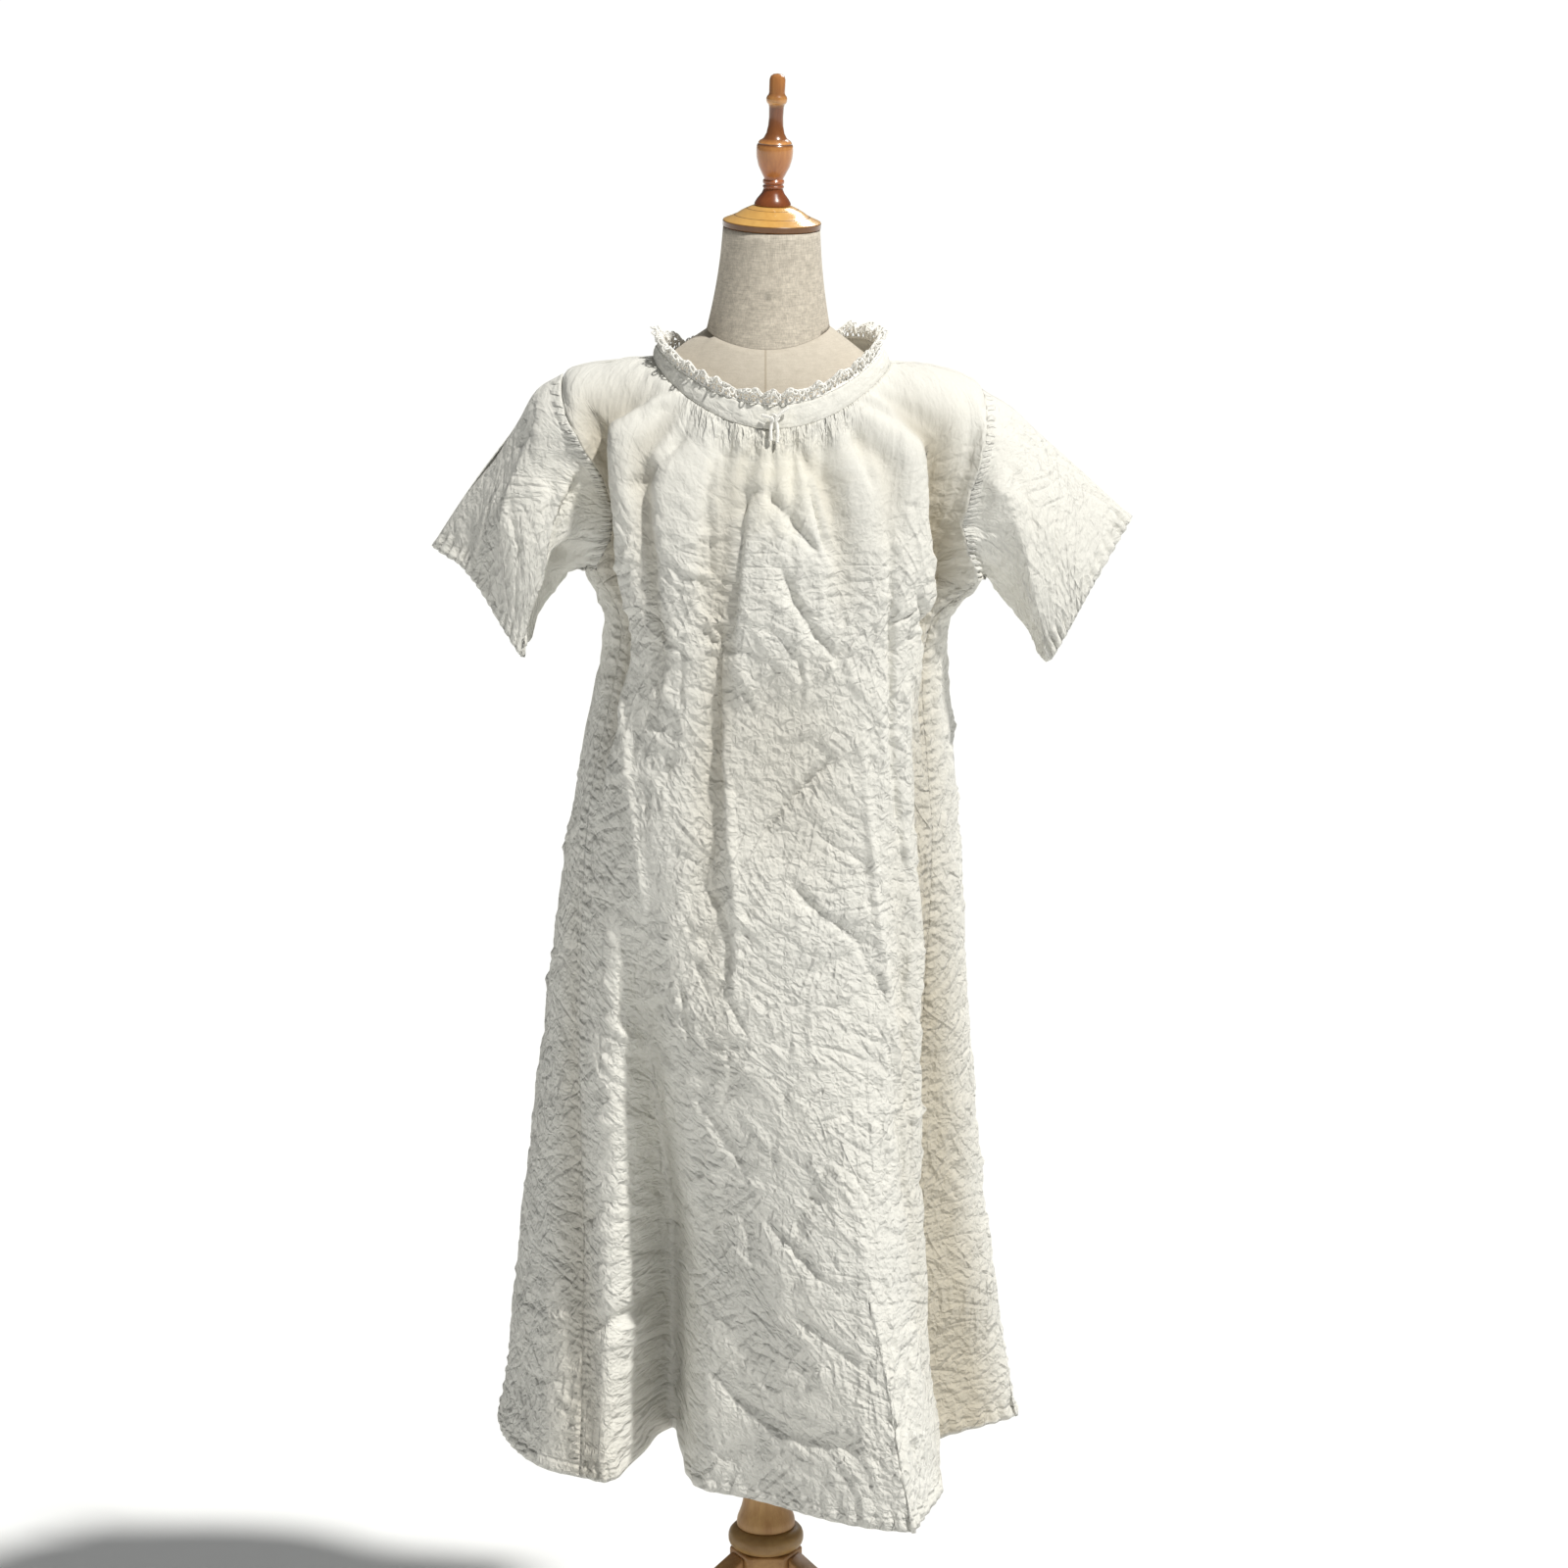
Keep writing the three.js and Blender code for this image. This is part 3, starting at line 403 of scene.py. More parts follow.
def cloth_piece(name, points, across, down, wall, thicker=None, closed=False, fields=None):
    """A thin shell of cloth on a grid of points, with its cloth coordinates in metres as UVs."""
    deselect()
    rows, columns = across.shape
    bpy.ops.mesh.primitive_grid_add(x_subdivisions=columns - 1, y_subdivisions=rows - 1)
    piece = bpy.context.object
    mesh = piece.data
    spots = (points + ORIGIN) * MM
    mesh.vertices.foreach_set("co", spots.reshape(-1).astype(np.float32))
    corner = np.zeros(len(mesh.loops), np.int32)
    mesh.loops.foreach_get("vertex_index", corner)
    flat = np.stack([across, down], -1).reshape(-1, 2)[corner] * MM
    mesh.uv_layers.active.uv.foreach_set("vector", flat.reshape(-1).astype(np.float32))
    for field, values in (fields or {}).items():
        layer = mesh.attributes.new(field, "FLOAT", "POINT")
        layer.data.foreach_set("value", values.reshape(-1).astype(np.float32))
    mesh.update()
    group = piece.vertex_groups.new(name="thickness")
    share = np.full(across.size, 1.0) if thicker is None else thicker.reshape(-1)
    most = float(share.max())
    for value in np.unique(np.round(share / most, 2)):
        chosen = np.nonzero(np.abs(np.round(share / most, 2) - value) < 1e-6)[0]
        group.add([int(k) for k in chosen], float(value), "REPLACE")
    if closed:
        in_edit_mode(piece, lambda: bpy.ops.mesh.remove_doubles(threshold=2e-5))
    apply_modifier(piece, "SOLIDIFY", thickness=wall * most * MM, offset=0,
                   vertex_group="thickness", use_rim=True)
    piece.vertex_groups.clear()
    smooth(piece)
    return piece


# ------------------------------------------------------------------ main creases of the panels
# (name, (across from the centre, down from the neck seam, degrees from straight down, length,
# degrees it bends on its way), height out of the cloth, half width)
CREASE_STEPS = 5
CREASE_DEEPER, CREASE_NARROWER = 1.9, 0.8   # what the rows' heights and half widths are scaled by
LONGEST_CREASE, DEEPEST_CREASE = 90, 2.5     # of the small scattered ones
FRONT_CREASES = [
    ("sharp gather", (25, 18, 13, 120, 4), -3.6, 4),
    ("right gather", (75, 15, 20, 65, 0), -2.8, 5),
    ("left gather", (-80, 20, -38, 100, 0), -3.2, 6),
    ("left long", (-50, 10, -10, 175, 12), -2.4, 5),
    ("centre drop", (-25, 20, -2, 215, -5), -4.0, 7),
    ("yoke slant", (-10, 55, 42, 95, -8), -3.0, 6),
    ("yoke peak", (-10, 55, -42, 35, 0), -2.4, 5),
    ("yoke tick", (-5, 110, -30, 35, 0), -2.2, 4),
    ("cross bar", (-85, 140, 75, 40, 0), 1.5, 4),
    ("cross bar high", (-70, 110, 105, 40, 0), 1.4, 4),
    ("left fine line", (-55, 80, 0, 80, 0), -2.6, 4),
    ("chest zig", (5, 120, 15, 130, 25), -2.8, 6),
    ("chest tick", (55, 140, -5, 35, 0), -2.0, 5),
    ("right pleat", (135, 170, 25, 110, -10), -3.4, 5),
    ("right seam line", (110, 100, 2, 335, 0), -3.0, 5),
    ("long slant", (75, 305, -60, 130, 25), -3.4, 5),
    ("right v", (45, 295, 57, 27, 0), 1.8, 4),
    ("left tick", (-90, 315, -27, 35, 0), -1.8, 4),
    ("left bar", (-160, 345, 105, 35, 0), 1.6, 4),
    ("left zig", (-50, 380, -35, 75, 12), -2.2, 5),
    ("centre line", (-42, 160, 1, 310, -2), 2.6, 5),
    ("right line", (85, 265, 3, 670, -12), 2.2, 5),
    ("left side line", (-165, 230, 18, 260, -22), 1.8, 6),
    ("waist hook", (-75, 420, 42, 115, -80), -3.0, 5),
    ("waist slant", (5, 415, 38, 105, 18), -2.6, 6),
    ("mid tick", (-15, 430, -40, 33, 0), -1.8, 4),
    ("low bar", (-20, 515, 108, 100, 4), -1.6, 5),
    ("left v", (-115, 525, -40, 50, 0), -1.6, 4),
    ("left drop", (-105, 515, -10, 75, 15), -2.0, 4),
    ("mid drop", (-65, 525, 20, 45, 0), -1.6, 4),
    ("knee bar", (-20, 585, 88, 70, 0), 1.5, 4),
    ("knee slant", (-120, 630, 36, 75, -26), -1.8, 5),
    ("right fall", (35, 620, -58, 70, 8), -2.2, 5),
    ("cross down", (0, 675, -42, 115, 12), -2.4, 5),
    ("cross up", (-85, 740, 38, 75, 0), -2.2, 5),
    ("cross foot", (-45, 760, -31, 70, 0), -1.8, 5),
    ("valley lip", (-130, 650, -12, 150, 20), -2.6, 6),
    ("left rise", (-295, 780, 121, 75, 0), -2.0, 5),
    ("left shelf", (-310, 880, 112, 85, -22), -3.6, 10),
    ("right shelf", (-185, 900, 35, 185, 80), -2.8, 12),
    ("knee rise", (-80, 830, 53, 82, 0), -1.5, 6),
    ("hem tick", (-10, 920, 58, 38, 0), -2.2, 5),
]
BACK_CREASES = [
    ("blade slant", (-90, 120, 30, 105, 22), -2.8, 6),
    ("spine line", (5, 60, 0, 370, 0), 2.2, 5),
    ("waist cross", (60, 330, -42, 115, -18), -3.0, 5),
    ("left long", (-110, 260, -4, 300, 8), 2.0, 6),
    ("right long", (120, 300, 3, 340, -8), 2.2, 5),
    ("seat hook", (40, 480, 40, 110, -45), -2.6, 5),
    ("seat slant", (-70, 500, 48, 140, -20), -2.4, 6),
    ("knee slant", (90, 690, -40, 125, 22), -2.4, 5),
    ("knee cross", (-120, 720, 46, 130, -30), -2.2, 5),
    ("hem shelf", (-150, 900, 75, 135, 35), -2.8, 10),
    ("hem tick", (80, 900, 59, 58, 0), -2.0, 5),
    ("shoulder drop", (70, 30, 16, 122, -20), -2.6, 5),
]
STITCH_PITCH = 8.5
PUCKER_PITCH = 1.9 * STITCH_PITCH
SEAM_FROM, SEAM_FULL = 60, 75        # where the armhole and side seams set in, down the panel


def panel_heights(across, down, creases, rng, crumple, count):
    """All the small relief of a body panel: calmer under the neck and level at its edges."""
    height = crumple * crumpled(across, down, rng)
    height += random_creases(across, down, rng, count, LONGEST_CREASE, DEEPEST_CREASE)
    height *= 0.2 + 0.8 * ramp(down, 50, 210)
    for _, line, depth, width in creases:
        path = crease_path(*line)
        height += crease_height(across, down, path, CREASE_DEEPER * depth, CREASE_NARROWER * width)
    return height * ramp(edge_distance(across, down), 0, 16)


def fine_gathers(across, down, half_width):
    """Tight uneven gathers under the neckband, which run out at different lengths."""
    reach = 40 + 18 * np.sin(across / 23 + 1) + 12 * np.sin(across / 9.1)
    fine = np.abs(np.sin(across / 3.1 + 0.9 * np.sin(across / 8.3) + 0.8 * np.sin(across / 17.9)))
    broad = np.abs(np.sin(across / 8.6 + 1.2 * np.sin(across / 21.7)))
    fade = ramp(down, 0, 5) * (0.2 + 0.8 * ramp(half_width - np.abs(across), 0, 25))
    return fade * (3.4 * (fine - 0.64) * np.exp(-(down / (0.6 * reach)) ** 2)
                   + 6.0 * (broad - 0.64) * np.exp(-(down / (1.9 * reach)) ** 2))


def hem_band(down, width):
    """1 in the turned hem and 0 above it, with the step at the stitch line."""
    return ramp(down, HEM_AT - width - 1.5, HEM_AT - width + 0.5)


def relief_and_shell(name, grid, creases, seed, count, look, gathers=0):
    """A body panel: its grid with all its relief, made a thin shell with a thicker hem."""
    points, across, down, painted_fold_shade = grid
    rng = np.random.default_rng(seed)
    height = panel_heights(across, down, creases, rng, look.crumple, count)
    width = look.hem_width / MM
    far = edge_distance(across, down, foot=False)
    sewn = ramp(down, SEAM_FROM, SEAM_FULL)
    armhole_part = ramp(down, ARMPIT_AT + 5, ARMPIT_AT - 5)
    height += seam_pucker(far, down, PUCKER_PITCH, 1.2, 9) * sewn
    height += seam_pucker(far, down, 7, 1.3, 8) * sewn * armhole_part
    height += 0.8 * np.exp(-((far - 6) / 1.8) ** 2) * sewn
    if gathers:
        height += fine_gathers(across, down, gathers)
    from_line = np.abs(down - (HEM_AT - width))
    rise = seam_pucker(from_line + 6, across, PUCKER_PITCH, 2.6, 10)
    height += rise * ramp(far, 0, 10)
    points = points + grid_normals(points) * height[..., None]
    seam = np.exp(-((far - 5) / 7) ** 2) * ramp(down, ARMPIT_AT + 5, ARMPIT_AT + 55)
    # The fold depth goes along as an attribute that masks the painted shade in the deep folds.
    return cloth_piece(name, points, across, down, look.cloth / MM,
                       1 + 1.2 * hem_band(down, width), fields={"painted_fold_shade": painted_fold_shade, "seam": seam})


def build_front(look):
    stations = np.concatenate([np.arange(0, 232, 3.0), np.linspace(232, HEM_AT, 166)])
    edge = lambda at: edge_of(FRONT_EDGE, at)
    grid = body_grid(stations, 196, lambda at: -edge(at), edge, crowd)
    return relief_and_shell("front", grid, FRONT_CREASES, 11, 672, look, 92)


def build_back(look):
    stations = np.concatenate([np.arange(0, 232, 3.6), np.linspace(232, HEM_AT, 150)])
    edge = lambda at: edge_of(BACK_EDGE, at)
    grid = body_grid(stations, 190, edge, lambda at: 360 - edge(at))
    return relief_and_shell("back", grid, BACK_CREASES, 12, 576, look, 60)


def build_gore(name, wearers_left, seed, look):
    stations = np.linspace(ARMPIT_AT, HEM_AT, 226)
    ahead = lambda at: edge_of(FRONT_EDGE, at)
    behind = lambda at: edge_of(BACK_EDGE, at)
    if wearers_left:
        grid = body_grid(stations, 40, ahead, behind)
    else:
        grid = body_grid(stations, 40, lambda at: -behind(at), lambda at: -ahead(at))
    return relief_and_shell(name, grid, [], seed, 144, look)


# ------------------------------------------------------------------ sleeves
def closed_curve(knots, shares):
    """Centripetal curve through a closed ring of points, at shares from 0 to 1."""
    knots = np.array(knots, float)
    count = len(knots)
    out = []
    for share in shares:
        place = (share % 1) * count
        k, t = int(place), place - int(place)
        p0, p1, p2, p3 = (knots[(k + step) % count] for step in (-1, 0, 1, 2))
        d0, d1, d2 = (np.linalg.norm(b - a) ** 0.5 for a, b in ((p0, p1), (p1, p2), (p2, p3)))
        m1 = ((p1 - p0) / d0 - (p2 - p0) / (d0 + d1) + (p2 - p1) / d1) * d1
        m2 = ((p2 - p1) / d1 - (p3 - p1) / (d1 + d2) + (p3 - p2) / d2) * d1
        out.append(p1 + m1 * t + (3 * (p2 - p1) - 2 * m1 - m2) * t**2
                   + (2 * (p1 - p2) + m1 + m2) * t**3)
    return np.array(out)


# Sleeve hoops, a point for each sixth of the way round from the top over the front.
# pocket: the hollow that sinks in, as (place, spread, depth).
# shelves: layers that lie behind a crisp fold, as (place at the armhole, drift to the cuff, side
# that sinks, depth, width, where it starts and where it ends down the sleeve).
# ridges: (place at the armhole, drift to the cuff, height, reach towards lower and higher places).
# crown: how far the top lifts.
SLEEVES = {
    False: dict(
        middle=[(-252, 8, 1326), (-228, -56, 1298), (-197, -64, 1223), (-197, -5, 1199),
                (-212, 50, 1216), (-242, 56, 1288)],
        cuff=[(-313, 30, 1235), (-268, -40, 1211), (-226, -60, 1150), (-226, -8, 1158),
              (-244, 46, 1168), (-288, 62, 1208)],
        pocket=(9.2, 2.1, 21),
        shelves=[(0.6, 5.2, -1, 5, 5, 0.35, 1.3), (3.0, 8.0, 1, 15, 5, 0, 0.6),
                 (7.6, 0.4, 1, 11, 3.5, 0.3, 1.1)],
        ridges=[(0.6, 5.2, 10, 0.6, 2.2), (7.0, 0.9, 10, 1.4, 0.7)], crown=9),
    True: dict(
        middle=[(267, 8, 1327), (246, -54, 1296), (221, -62, 1218), (219, -5, 1184),
                (233, 50, 1200), (262, 54, 1282)],
        cuff=[(338, 22, 1264), (296, -42, 1208), (261, -56, 1148), (259, -6, 1148),
              (278, 44, 1168), (316, 58, 1216)],
        pocket=(9.6, 2.4, 20), shelves=[], ridges=[(3.4, 4.4, 22, 2.6, 2.0)], crown=2),
}
ARMHOLE_PARTS = (10, 4, 10)          # shares of the armhole on the front, the gore and the back


def armhole(share, wearers_left):
    """One point of the armhole, from the shoulder tip down the front, under the arm, up the back."""
    total = sum(ARMHOLE_PARTS)
    place = share * total
    depth = ARMPIT_AT - SHOULDER_AT
    side = 1 if wearers_left else -1
    if place <= ARMHOLE_PARTS[0]:
        at = SHOULDER_AT + depth * place / ARMHOLE_PARTS[0]
        phi = edge_of(FRONT_EDGE, at)
    elif place <= total - ARMHOLE_PARTS[2]:
        at = ARMPIT_AT
        low, high = edge_of(FRONT_EDGE, at), edge_of(BACK_EDGE, at)
        phi = low + (high - low) * (place - ARMHOLE_PARTS[0]) / ARMHOLE_PARTS[1]
    else:
        at = ARMPIT_AT - depth * (place - total + ARMHOLE_PARTS[2]) / ARMHOLE_PARTS[2]
        phi = edge_of(BACK_EDGE, at)
    return draped_row(np.array([side * phi]), at)[0]


SLEEVE_ACROSS, SLEEVE_DOWN = 1000, 110   # where a sleeve's cloth coordinates start, clear of the body's
SLEEVE_COLUMNS, SLEEVE_ROWS = 200, 52
# (name, [(round from the shoulder, down from the armhole)], height out of the cloth, half width)
SLEEVE_CREASES = [
    ("front ridge", [(95, 14), (100, 60), (112, 130)], 1.5, 6),
    ("front slant", [(60, 20), (84, 55), (120, 80)], -2.6, 5),
    ("crown line", [(20, 10), (30, 50), (22, 95)], -2.0, 5),
    ("cuff slant", [(70, 90), (96, 110), (130, 118)], -2.0, 4),
    ("under fold", [(190, 10), (200, 60), (196, 110)], -3.0, 6),
    ("back ridge", [(300, 20), (312, 70), (306, 120)], 2.6, 6),
    ("back slant", [(350, 30), (372, 70), (400, 96)], -2.4, 5),
]


def shelf_depth(place, w, start, drift, side, depth, width, first, last):
    """How far a layer sinks on one side of a crisp fold that runs down the sleeve."""
    off = side * (place - start - drift * w)
    shape = ramp(off, 0, 0.25) * (1 - ramp(off, 0.5 * width, width))
    fade = ramp(np.array(w), first, first + 0.2) * (1 - ramp(np.array(w), last - 0.2, last))
    return depth * shape * fade


def ridge_height(place, w, start, drift, height, lower, higher):
    """How far a layer stands out along a sharp ridge that runs down the sleeve."""
    off = place - start - drift * w
    reach = np.where(off < 0, lower, higher)
    fade = ramp(np.array(w), 0.0, 0.25) * (1 - 0.9 * ramp(np.array(w), 0.6, 1))
    return height * fade * np.exp(-np.abs(off) / reach)


def build_sleeve(name, wearers_left, seed, look):
    """A sleeve lofted from the armhole through its middle hoop to its cuff."""
    cut = SLEEVES[wearers_left]
    total = sum(ARMHOLE_PARTS)
    columns, rows = SLEEVE_COLUMNS, SLEEVE_ROWS
    share = np.arange(columns + 1) / columns
    start = np.array([armhole(s, wearers_left) for s in share[:-1]])
    start = np.vstack([start, start[:1]])
    middle, cuff = closed_curve(cut["middle"], share), closed_curve(cut["cuff"], share)
    side = 1 if wearers_left else -1
    axis = unit(np.array([side, 0, -0.85]))
    heart_top = (armhole(0, wearers_left) + armhole(0.5, wearers_left)) / 2
    near, spread, depth = cut["pocket"]
    lift = np.maximum(np.cos(2 * np.pi * share), 0) ** 2
    grid = []
    for w in np.linspace(0, 1, rows + 1):
        row = start * (1 - w) * (1 - 2 * w) + middle * 4 * w * (1 - w) + cuff * w * (2 * w - 1)
        crown = cut["crown"] * math.exp(-((w - 0.16) / 0.13) ** 2)
        row = row + np.array([0.6 * axis[0], 0, 0.8]) * (crown * lift)[:, None]
        dip = depth * np.exp(-((share * total - near) / spread) ** 2)
        dip = dip * max(math.sin(math.pi * w), 0) ** 1.3
        for shelf in cut["shelves"]:
            dip = dip + shelf_depth(share * total, w, *shelf)
        for ridge in cut["ridges"]:
            dip = dip - ridge_height(share * total, w, *ridge)
        row = row + unit(heart_top + axis * 130 * w - row) * dip[:, None]
        grid.append(row)
    points = np.array(grid)
    mean = points.mean(1, keepdims=True)
    girth = np.linalg.norm(np.diff(points[rows // 2], axis=0), axis=1)
    across = np.repeat(np.concatenate([[0], np.cumsum(girth)])[None], rows + 1, axis=0)
    down = np.concatenate([np.zeros((1, columns + 1)),
                           np.cumsum(np.linalg.norm(np.diff(points, axis=0), axis=2), axis=0)])
    rng = np.random.default_rng(seed)
    height = look.crumple * 0.35 * crumpled(across, down, rng)
    height += random_creases(across, down, rng, 90, 80, 1.5)
    for _, path, deep, width in SLEEVE_CREASES:
        height += crease_height(across, down, path, deep, width)
    join = ramp(np.minimum(across, across[:, -1:] - across), 0, 22)
    foot = down[-1:] - down
    height *= join * ramp(down, 0, 16) * ramp(foot, 0, 8)
    width = look.hem_width / MM * 0.8
    height += seam_pucker(down, across, 7, 2.2, 9) * join
    height += 1.1 * np.exp(-((down - 6) / 1.8) ** 2) * join
    height += seam_pucker(np.abs(foot - width) + 5, across, 10.5, 3.6, 9) * join
    normals = unit(np.cross(np.gradient(points, axis=0),
                            np.roll(points[:, :-1], -1, 1)[:, list(range(columns)) + [0]]
                            - np.roll(points[:, :-1], 1, 1)[:, list(range(columns)) + [0]]))
    outward = np.sign(((points - mean) * normals).sum((0, 1, 2)))
    points = points + normals * outward * height[..., None]
    hem = ramp(foot, width + 0.5, width - 1.5)
    return cloth_piece(name, points, across + SLEEVE_ACROSS, down + SLEEVE_DOWN, look.cloth / MM,
                       1 + 1.2 * hem, closed=True)


# ------------------------------------------------------------------ neckband and edging
def neck_row(phi, share):
    """Points round the neckband: share 0 is its seam to the dress, 1 its upper edge."""
    bump = lambda at, size: size * np.exp(-(((phi - at) / 26) ** 2))
    edge = ring_points(NECK_EDGE[1], phi)
    edge[:, 2] += bump(132, 7) + bump(232, -9)
    seam = draped_row(phi, 0)
    out = np.stack([np.sin(np.radians(phi)), -np.cos(np.radians(phi)), np.full_like(phi, 0.3)], 1)
    return seam + (edge - seam) * share + out * (1.6 * 4 * share * (1 - share))


def band_normal(phi, share):
    """Unit normals of the neckband, pointing out."""
    across = neck_row(phi + 1, share) - neck_row(phi - 1, share)
    down = neck_row(phi, max(share - 0.1, 0)) - neck_row(phi, min(share + 0.1, 1))
    return unit(np.cross(down, across))


def round_length(phi, share=1.0):
    """Lengths run so far round the neckband."""
    steps = np.linalg.norm(np.diff(neck_row(phi, share), axis=0), axis=1)
    return np.concatenate([[0], np.cumsum(steps)])


BAND_HEIGHT = 27


def build_neckband(look):
    """The band with its fold, its two stitched ridges and the puckers of its casing."""
    columns, rows = 520, 17
    phi = -90 + 360 * np.arange(columns + 1) / columns
    along = round_length(phi, 0.0)
    points, across, down = [], [], []
    for j in range(rows + 1):
        share = j / rows
        height = BAND_HEIGHT * share
        row = neck_row(phi, share)
        relief = 0.75 * math.exp(-((height - 1.6) / 1.1) ** 2)
        relief += 0.55 * math.exp(-((height - 5.2) / 1.0) ** 2)
        relief += 0.9 * math.exp(-((height - 24.5) / 1.8) ** 2)
        high, middle = math.exp(-((height - 21) / 5) ** 2), math.exp(-((height - 12) / 7) ** 2)
        pucker = 0.55 * np.sin(along / 3.1 + 1.3 * np.sin(along / 19)) * high
        pucker += 0.5 * np.sin(along / 5.3 + np.sin(along / 13)) * middle
        rim = min(1, min(height, BAND_HEIGHT - height) / 1.6)
        points.append(row + band_normal(phi, share) * ((relief + pucker) * rim)[:, None])
        across.append(along)
        down.append(np.full_like(along, BAND_HEIGHT - height))
    return cloth_piece("neckband", np.array(points), np.array(across) + 2000,
                       np.array(down) + 60, look.cloth / MM, closed=True)


def thread_mesh(name, strands, radius, sides=1):
    """Round threads along many polylines, as one mesh; each strand is (points, closed)."""
    deselect()
    curve = bpy.data.curves.new(name, "CURVE")
    curve.dimensions = "3D"
    curve.bevel_depth = radius * MM
    curve.bevel_resolution = sides
    curve.use_fill_caps = True
    for points, closed in strands:
        spline = curve.splines.new("POLY")
        spline.points.add(len(points) - 1)
        spots = np.ones((len(points), 4))
        spots[:, :3] = (np.array(points) + ORIGIN) * MM
        spline.points.foreach_set("co", spots.reshape(-1))
        spline.use_cyclic_u = closed
    piece = bpy.data.objects.new(name, curve)
    bpy.context.scene.collection.objects.link(piece)
    make_active(piece)
    bpy.ops.object.convert(target="MESH")
    smooth(bpy.context.object)
    return bpy.context.object


LACE_WAVES, LACE_RUFFLE, LACE_RISE, LACE_LEAN, LACE_HEIGHT = 27, 3.8, 10.5, 4.8, 14


class LaceFrame:
    """Places a point of the edging from its way round, its height and its depth."""

    def __init__(self):
        self.phi = -90 + 360 * np.arange(1441) / 1440
        self.along = round_length(self.phi)
        self.foot = neck_row(self.phi, 1.0)
        self.out = band_normal(self.phi, 1.0)
        self.up = unit(self.foot - neck_row(self.phi, 0.5))
        self.length = self.along[-1]

    def spot(self, s, height, depth=0.0):
        s = np.asarray(s, float)
        around = np.mod(s, self.length)
        pick = lambda field: np.stack([np.interp(around, self.along, field[:, c]) for c in range(3)], -1)
        foot, out, up = pick(self.foot), unit(pick(self.out)), unit(pick(self.up))
        reach = np.clip(np.asarray(height, float) / LACE_HEIGHT, 0, 1.1)
        lap = 2 * np.pi * around / self.length
        turn = LACE_WAVES * lap + 1.3 * np.sin(7 * lap) + 0.9 * np.sin(11 * lap + 1)
        sway = LACE_RUFFLE * reach * (np.sin(turn) + 0.4 * np.sin(2 * turn + 3 * np.sin(5 * lap)))
        curl = 2.4 * reach
        lift = np.broadcast_to(LACE_RISE * np.sin(curl), around.shape) + 0.35 * sway
        shift = np.broadcast_to(sway + LACE_LEAN * (1 - np.cos(curl)) + depth, around.shape)
        return foot + up * lift[..., None] + out * shift[..., None]


SHELL_PITCH, SHELL_ROWS, SHELL_STEP, SHELL_TALL = 6.6, 3, 3.4, 4.4
PICOT_PITCH, PICOT_SIZE = 5.4, 2.2


def build_lace(look):
    """Rows of overlapping crochet shells between two chains, with a picot edge."""
    lace = LaceFrame()
    rng = np.random.default_rng(31)
    strands = []
    chain = np.arange(0, lace.length, 1.2)
    for twist in (0, math.pi):
        phase = 2 * np.pi * chain / 3.4 + twist
        strands.append((lace.spot(chain, 0.8 + 0.6 * np.sin(phase), 0.6 * np.cos(phase)), True))
    count = int(lace.length / SHELL_PITCH)
    step = lace.length / count
    arch = np.linspace(-1, 1, 9)
    for row in range(SHELL_ROWS):
        for k in range(count):
            middle = (k + 0.5 * (row % 2)) * step + rng.normal(0, 0.25)
            for size in (1.0, 0.55):
                s = middle + 0.56 * step * size * np.sin(arch * 1.9)
                rise = SHELL_TALL * size * np.cos(arch * 1.5) + rng.normal(0, 0.15)
                bulge = rng.normal(0, 0.7) + 0.9 * np.cos(arch * 1.5)
                strands.append((lace.spot(s, 0.8 + SHELL_STEP * row + rise, bulge), False))
    picots = int(lace.length / PICOT_PITCH)
    turn = np.linspace(-0.85 * np.pi, 0.85 * np.pi, 12)
    for k in range(picots):
        size = PICOT_SIZE * (1 + rng.normal(0, 0.16))
        s = (k + rng.normal(0, 0.12)) * lace.length / picots + size * np.sin(turn)
        rise = 11.4 + size * (1 + 0.8 * np.cos(turn)) + rng.normal(0, 0.3)
        strands.append((lace.spot(s, rise, rng.normal(0, 1.3) * np.cos(turn / 2)), False))
    return thread_mesh("lace", strands, look.thread / MM / 2, 1)


# ------------------------------------------------------------------ drawstring
KNOT = np.array([6.0, -103.6, 1380.0])
CORD_RADIUS, CORD_PLIES, CORD_LAY, PLY_RADIUS = 1.5, 3, 5.0, 0.82


def smooth_route(points, count):
    """A smooth open route through a few points."""
    points = np.array(points, float)
    padded = np.vstack([2 * points[0] - points[1], points, 2 * points[-1] - points[-2]])
    route = []
    for place in np.linspace(0, len(points) - 1, count):
        k = min(int(place), len(points) - 2)
        t = place - k
        a, b, c, d = padded[k:k + 4]
        route.append(0.5 * (2 * b + (c - a) * t + (2 * a - 5 * b + 4 * c - d) * t**2
                            + (3 * b - a - 3 * c + d) * t**3))
    return np.array(route)


def plied(route, radius, plies, lay):
    """Strands that twist round a route; radius is that of the whole cord, lay its twist length."""
    steps = np.linalg.norm(np.diff(route, axis=0), axis=1)
    along = np.concatenate([[0], np.cumsum(steps)])
    fine = np.linspace(0, along[-1], max(int(along[-1] / 0.5), 8))
    middle = np.stack([np.interp(fine, along, route[:, c]) for c in range(3)], -1)
    ahead = unit(np.gradient(middle, axis=0))
    side = unit(np.cross(ahead, [0.3, 1, 0.2]))
    over = np.cross(ahead, side)
    strands = []
    for k in range(plies):
        turn = 2 * np.pi * (fine / lay + k / plies)
        strand = middle + 0.52 * radius * (side * np.cos(turn)[:, None] + over * np.sin(turn)[:, None])
        strands.append((strand, False))
    return strands


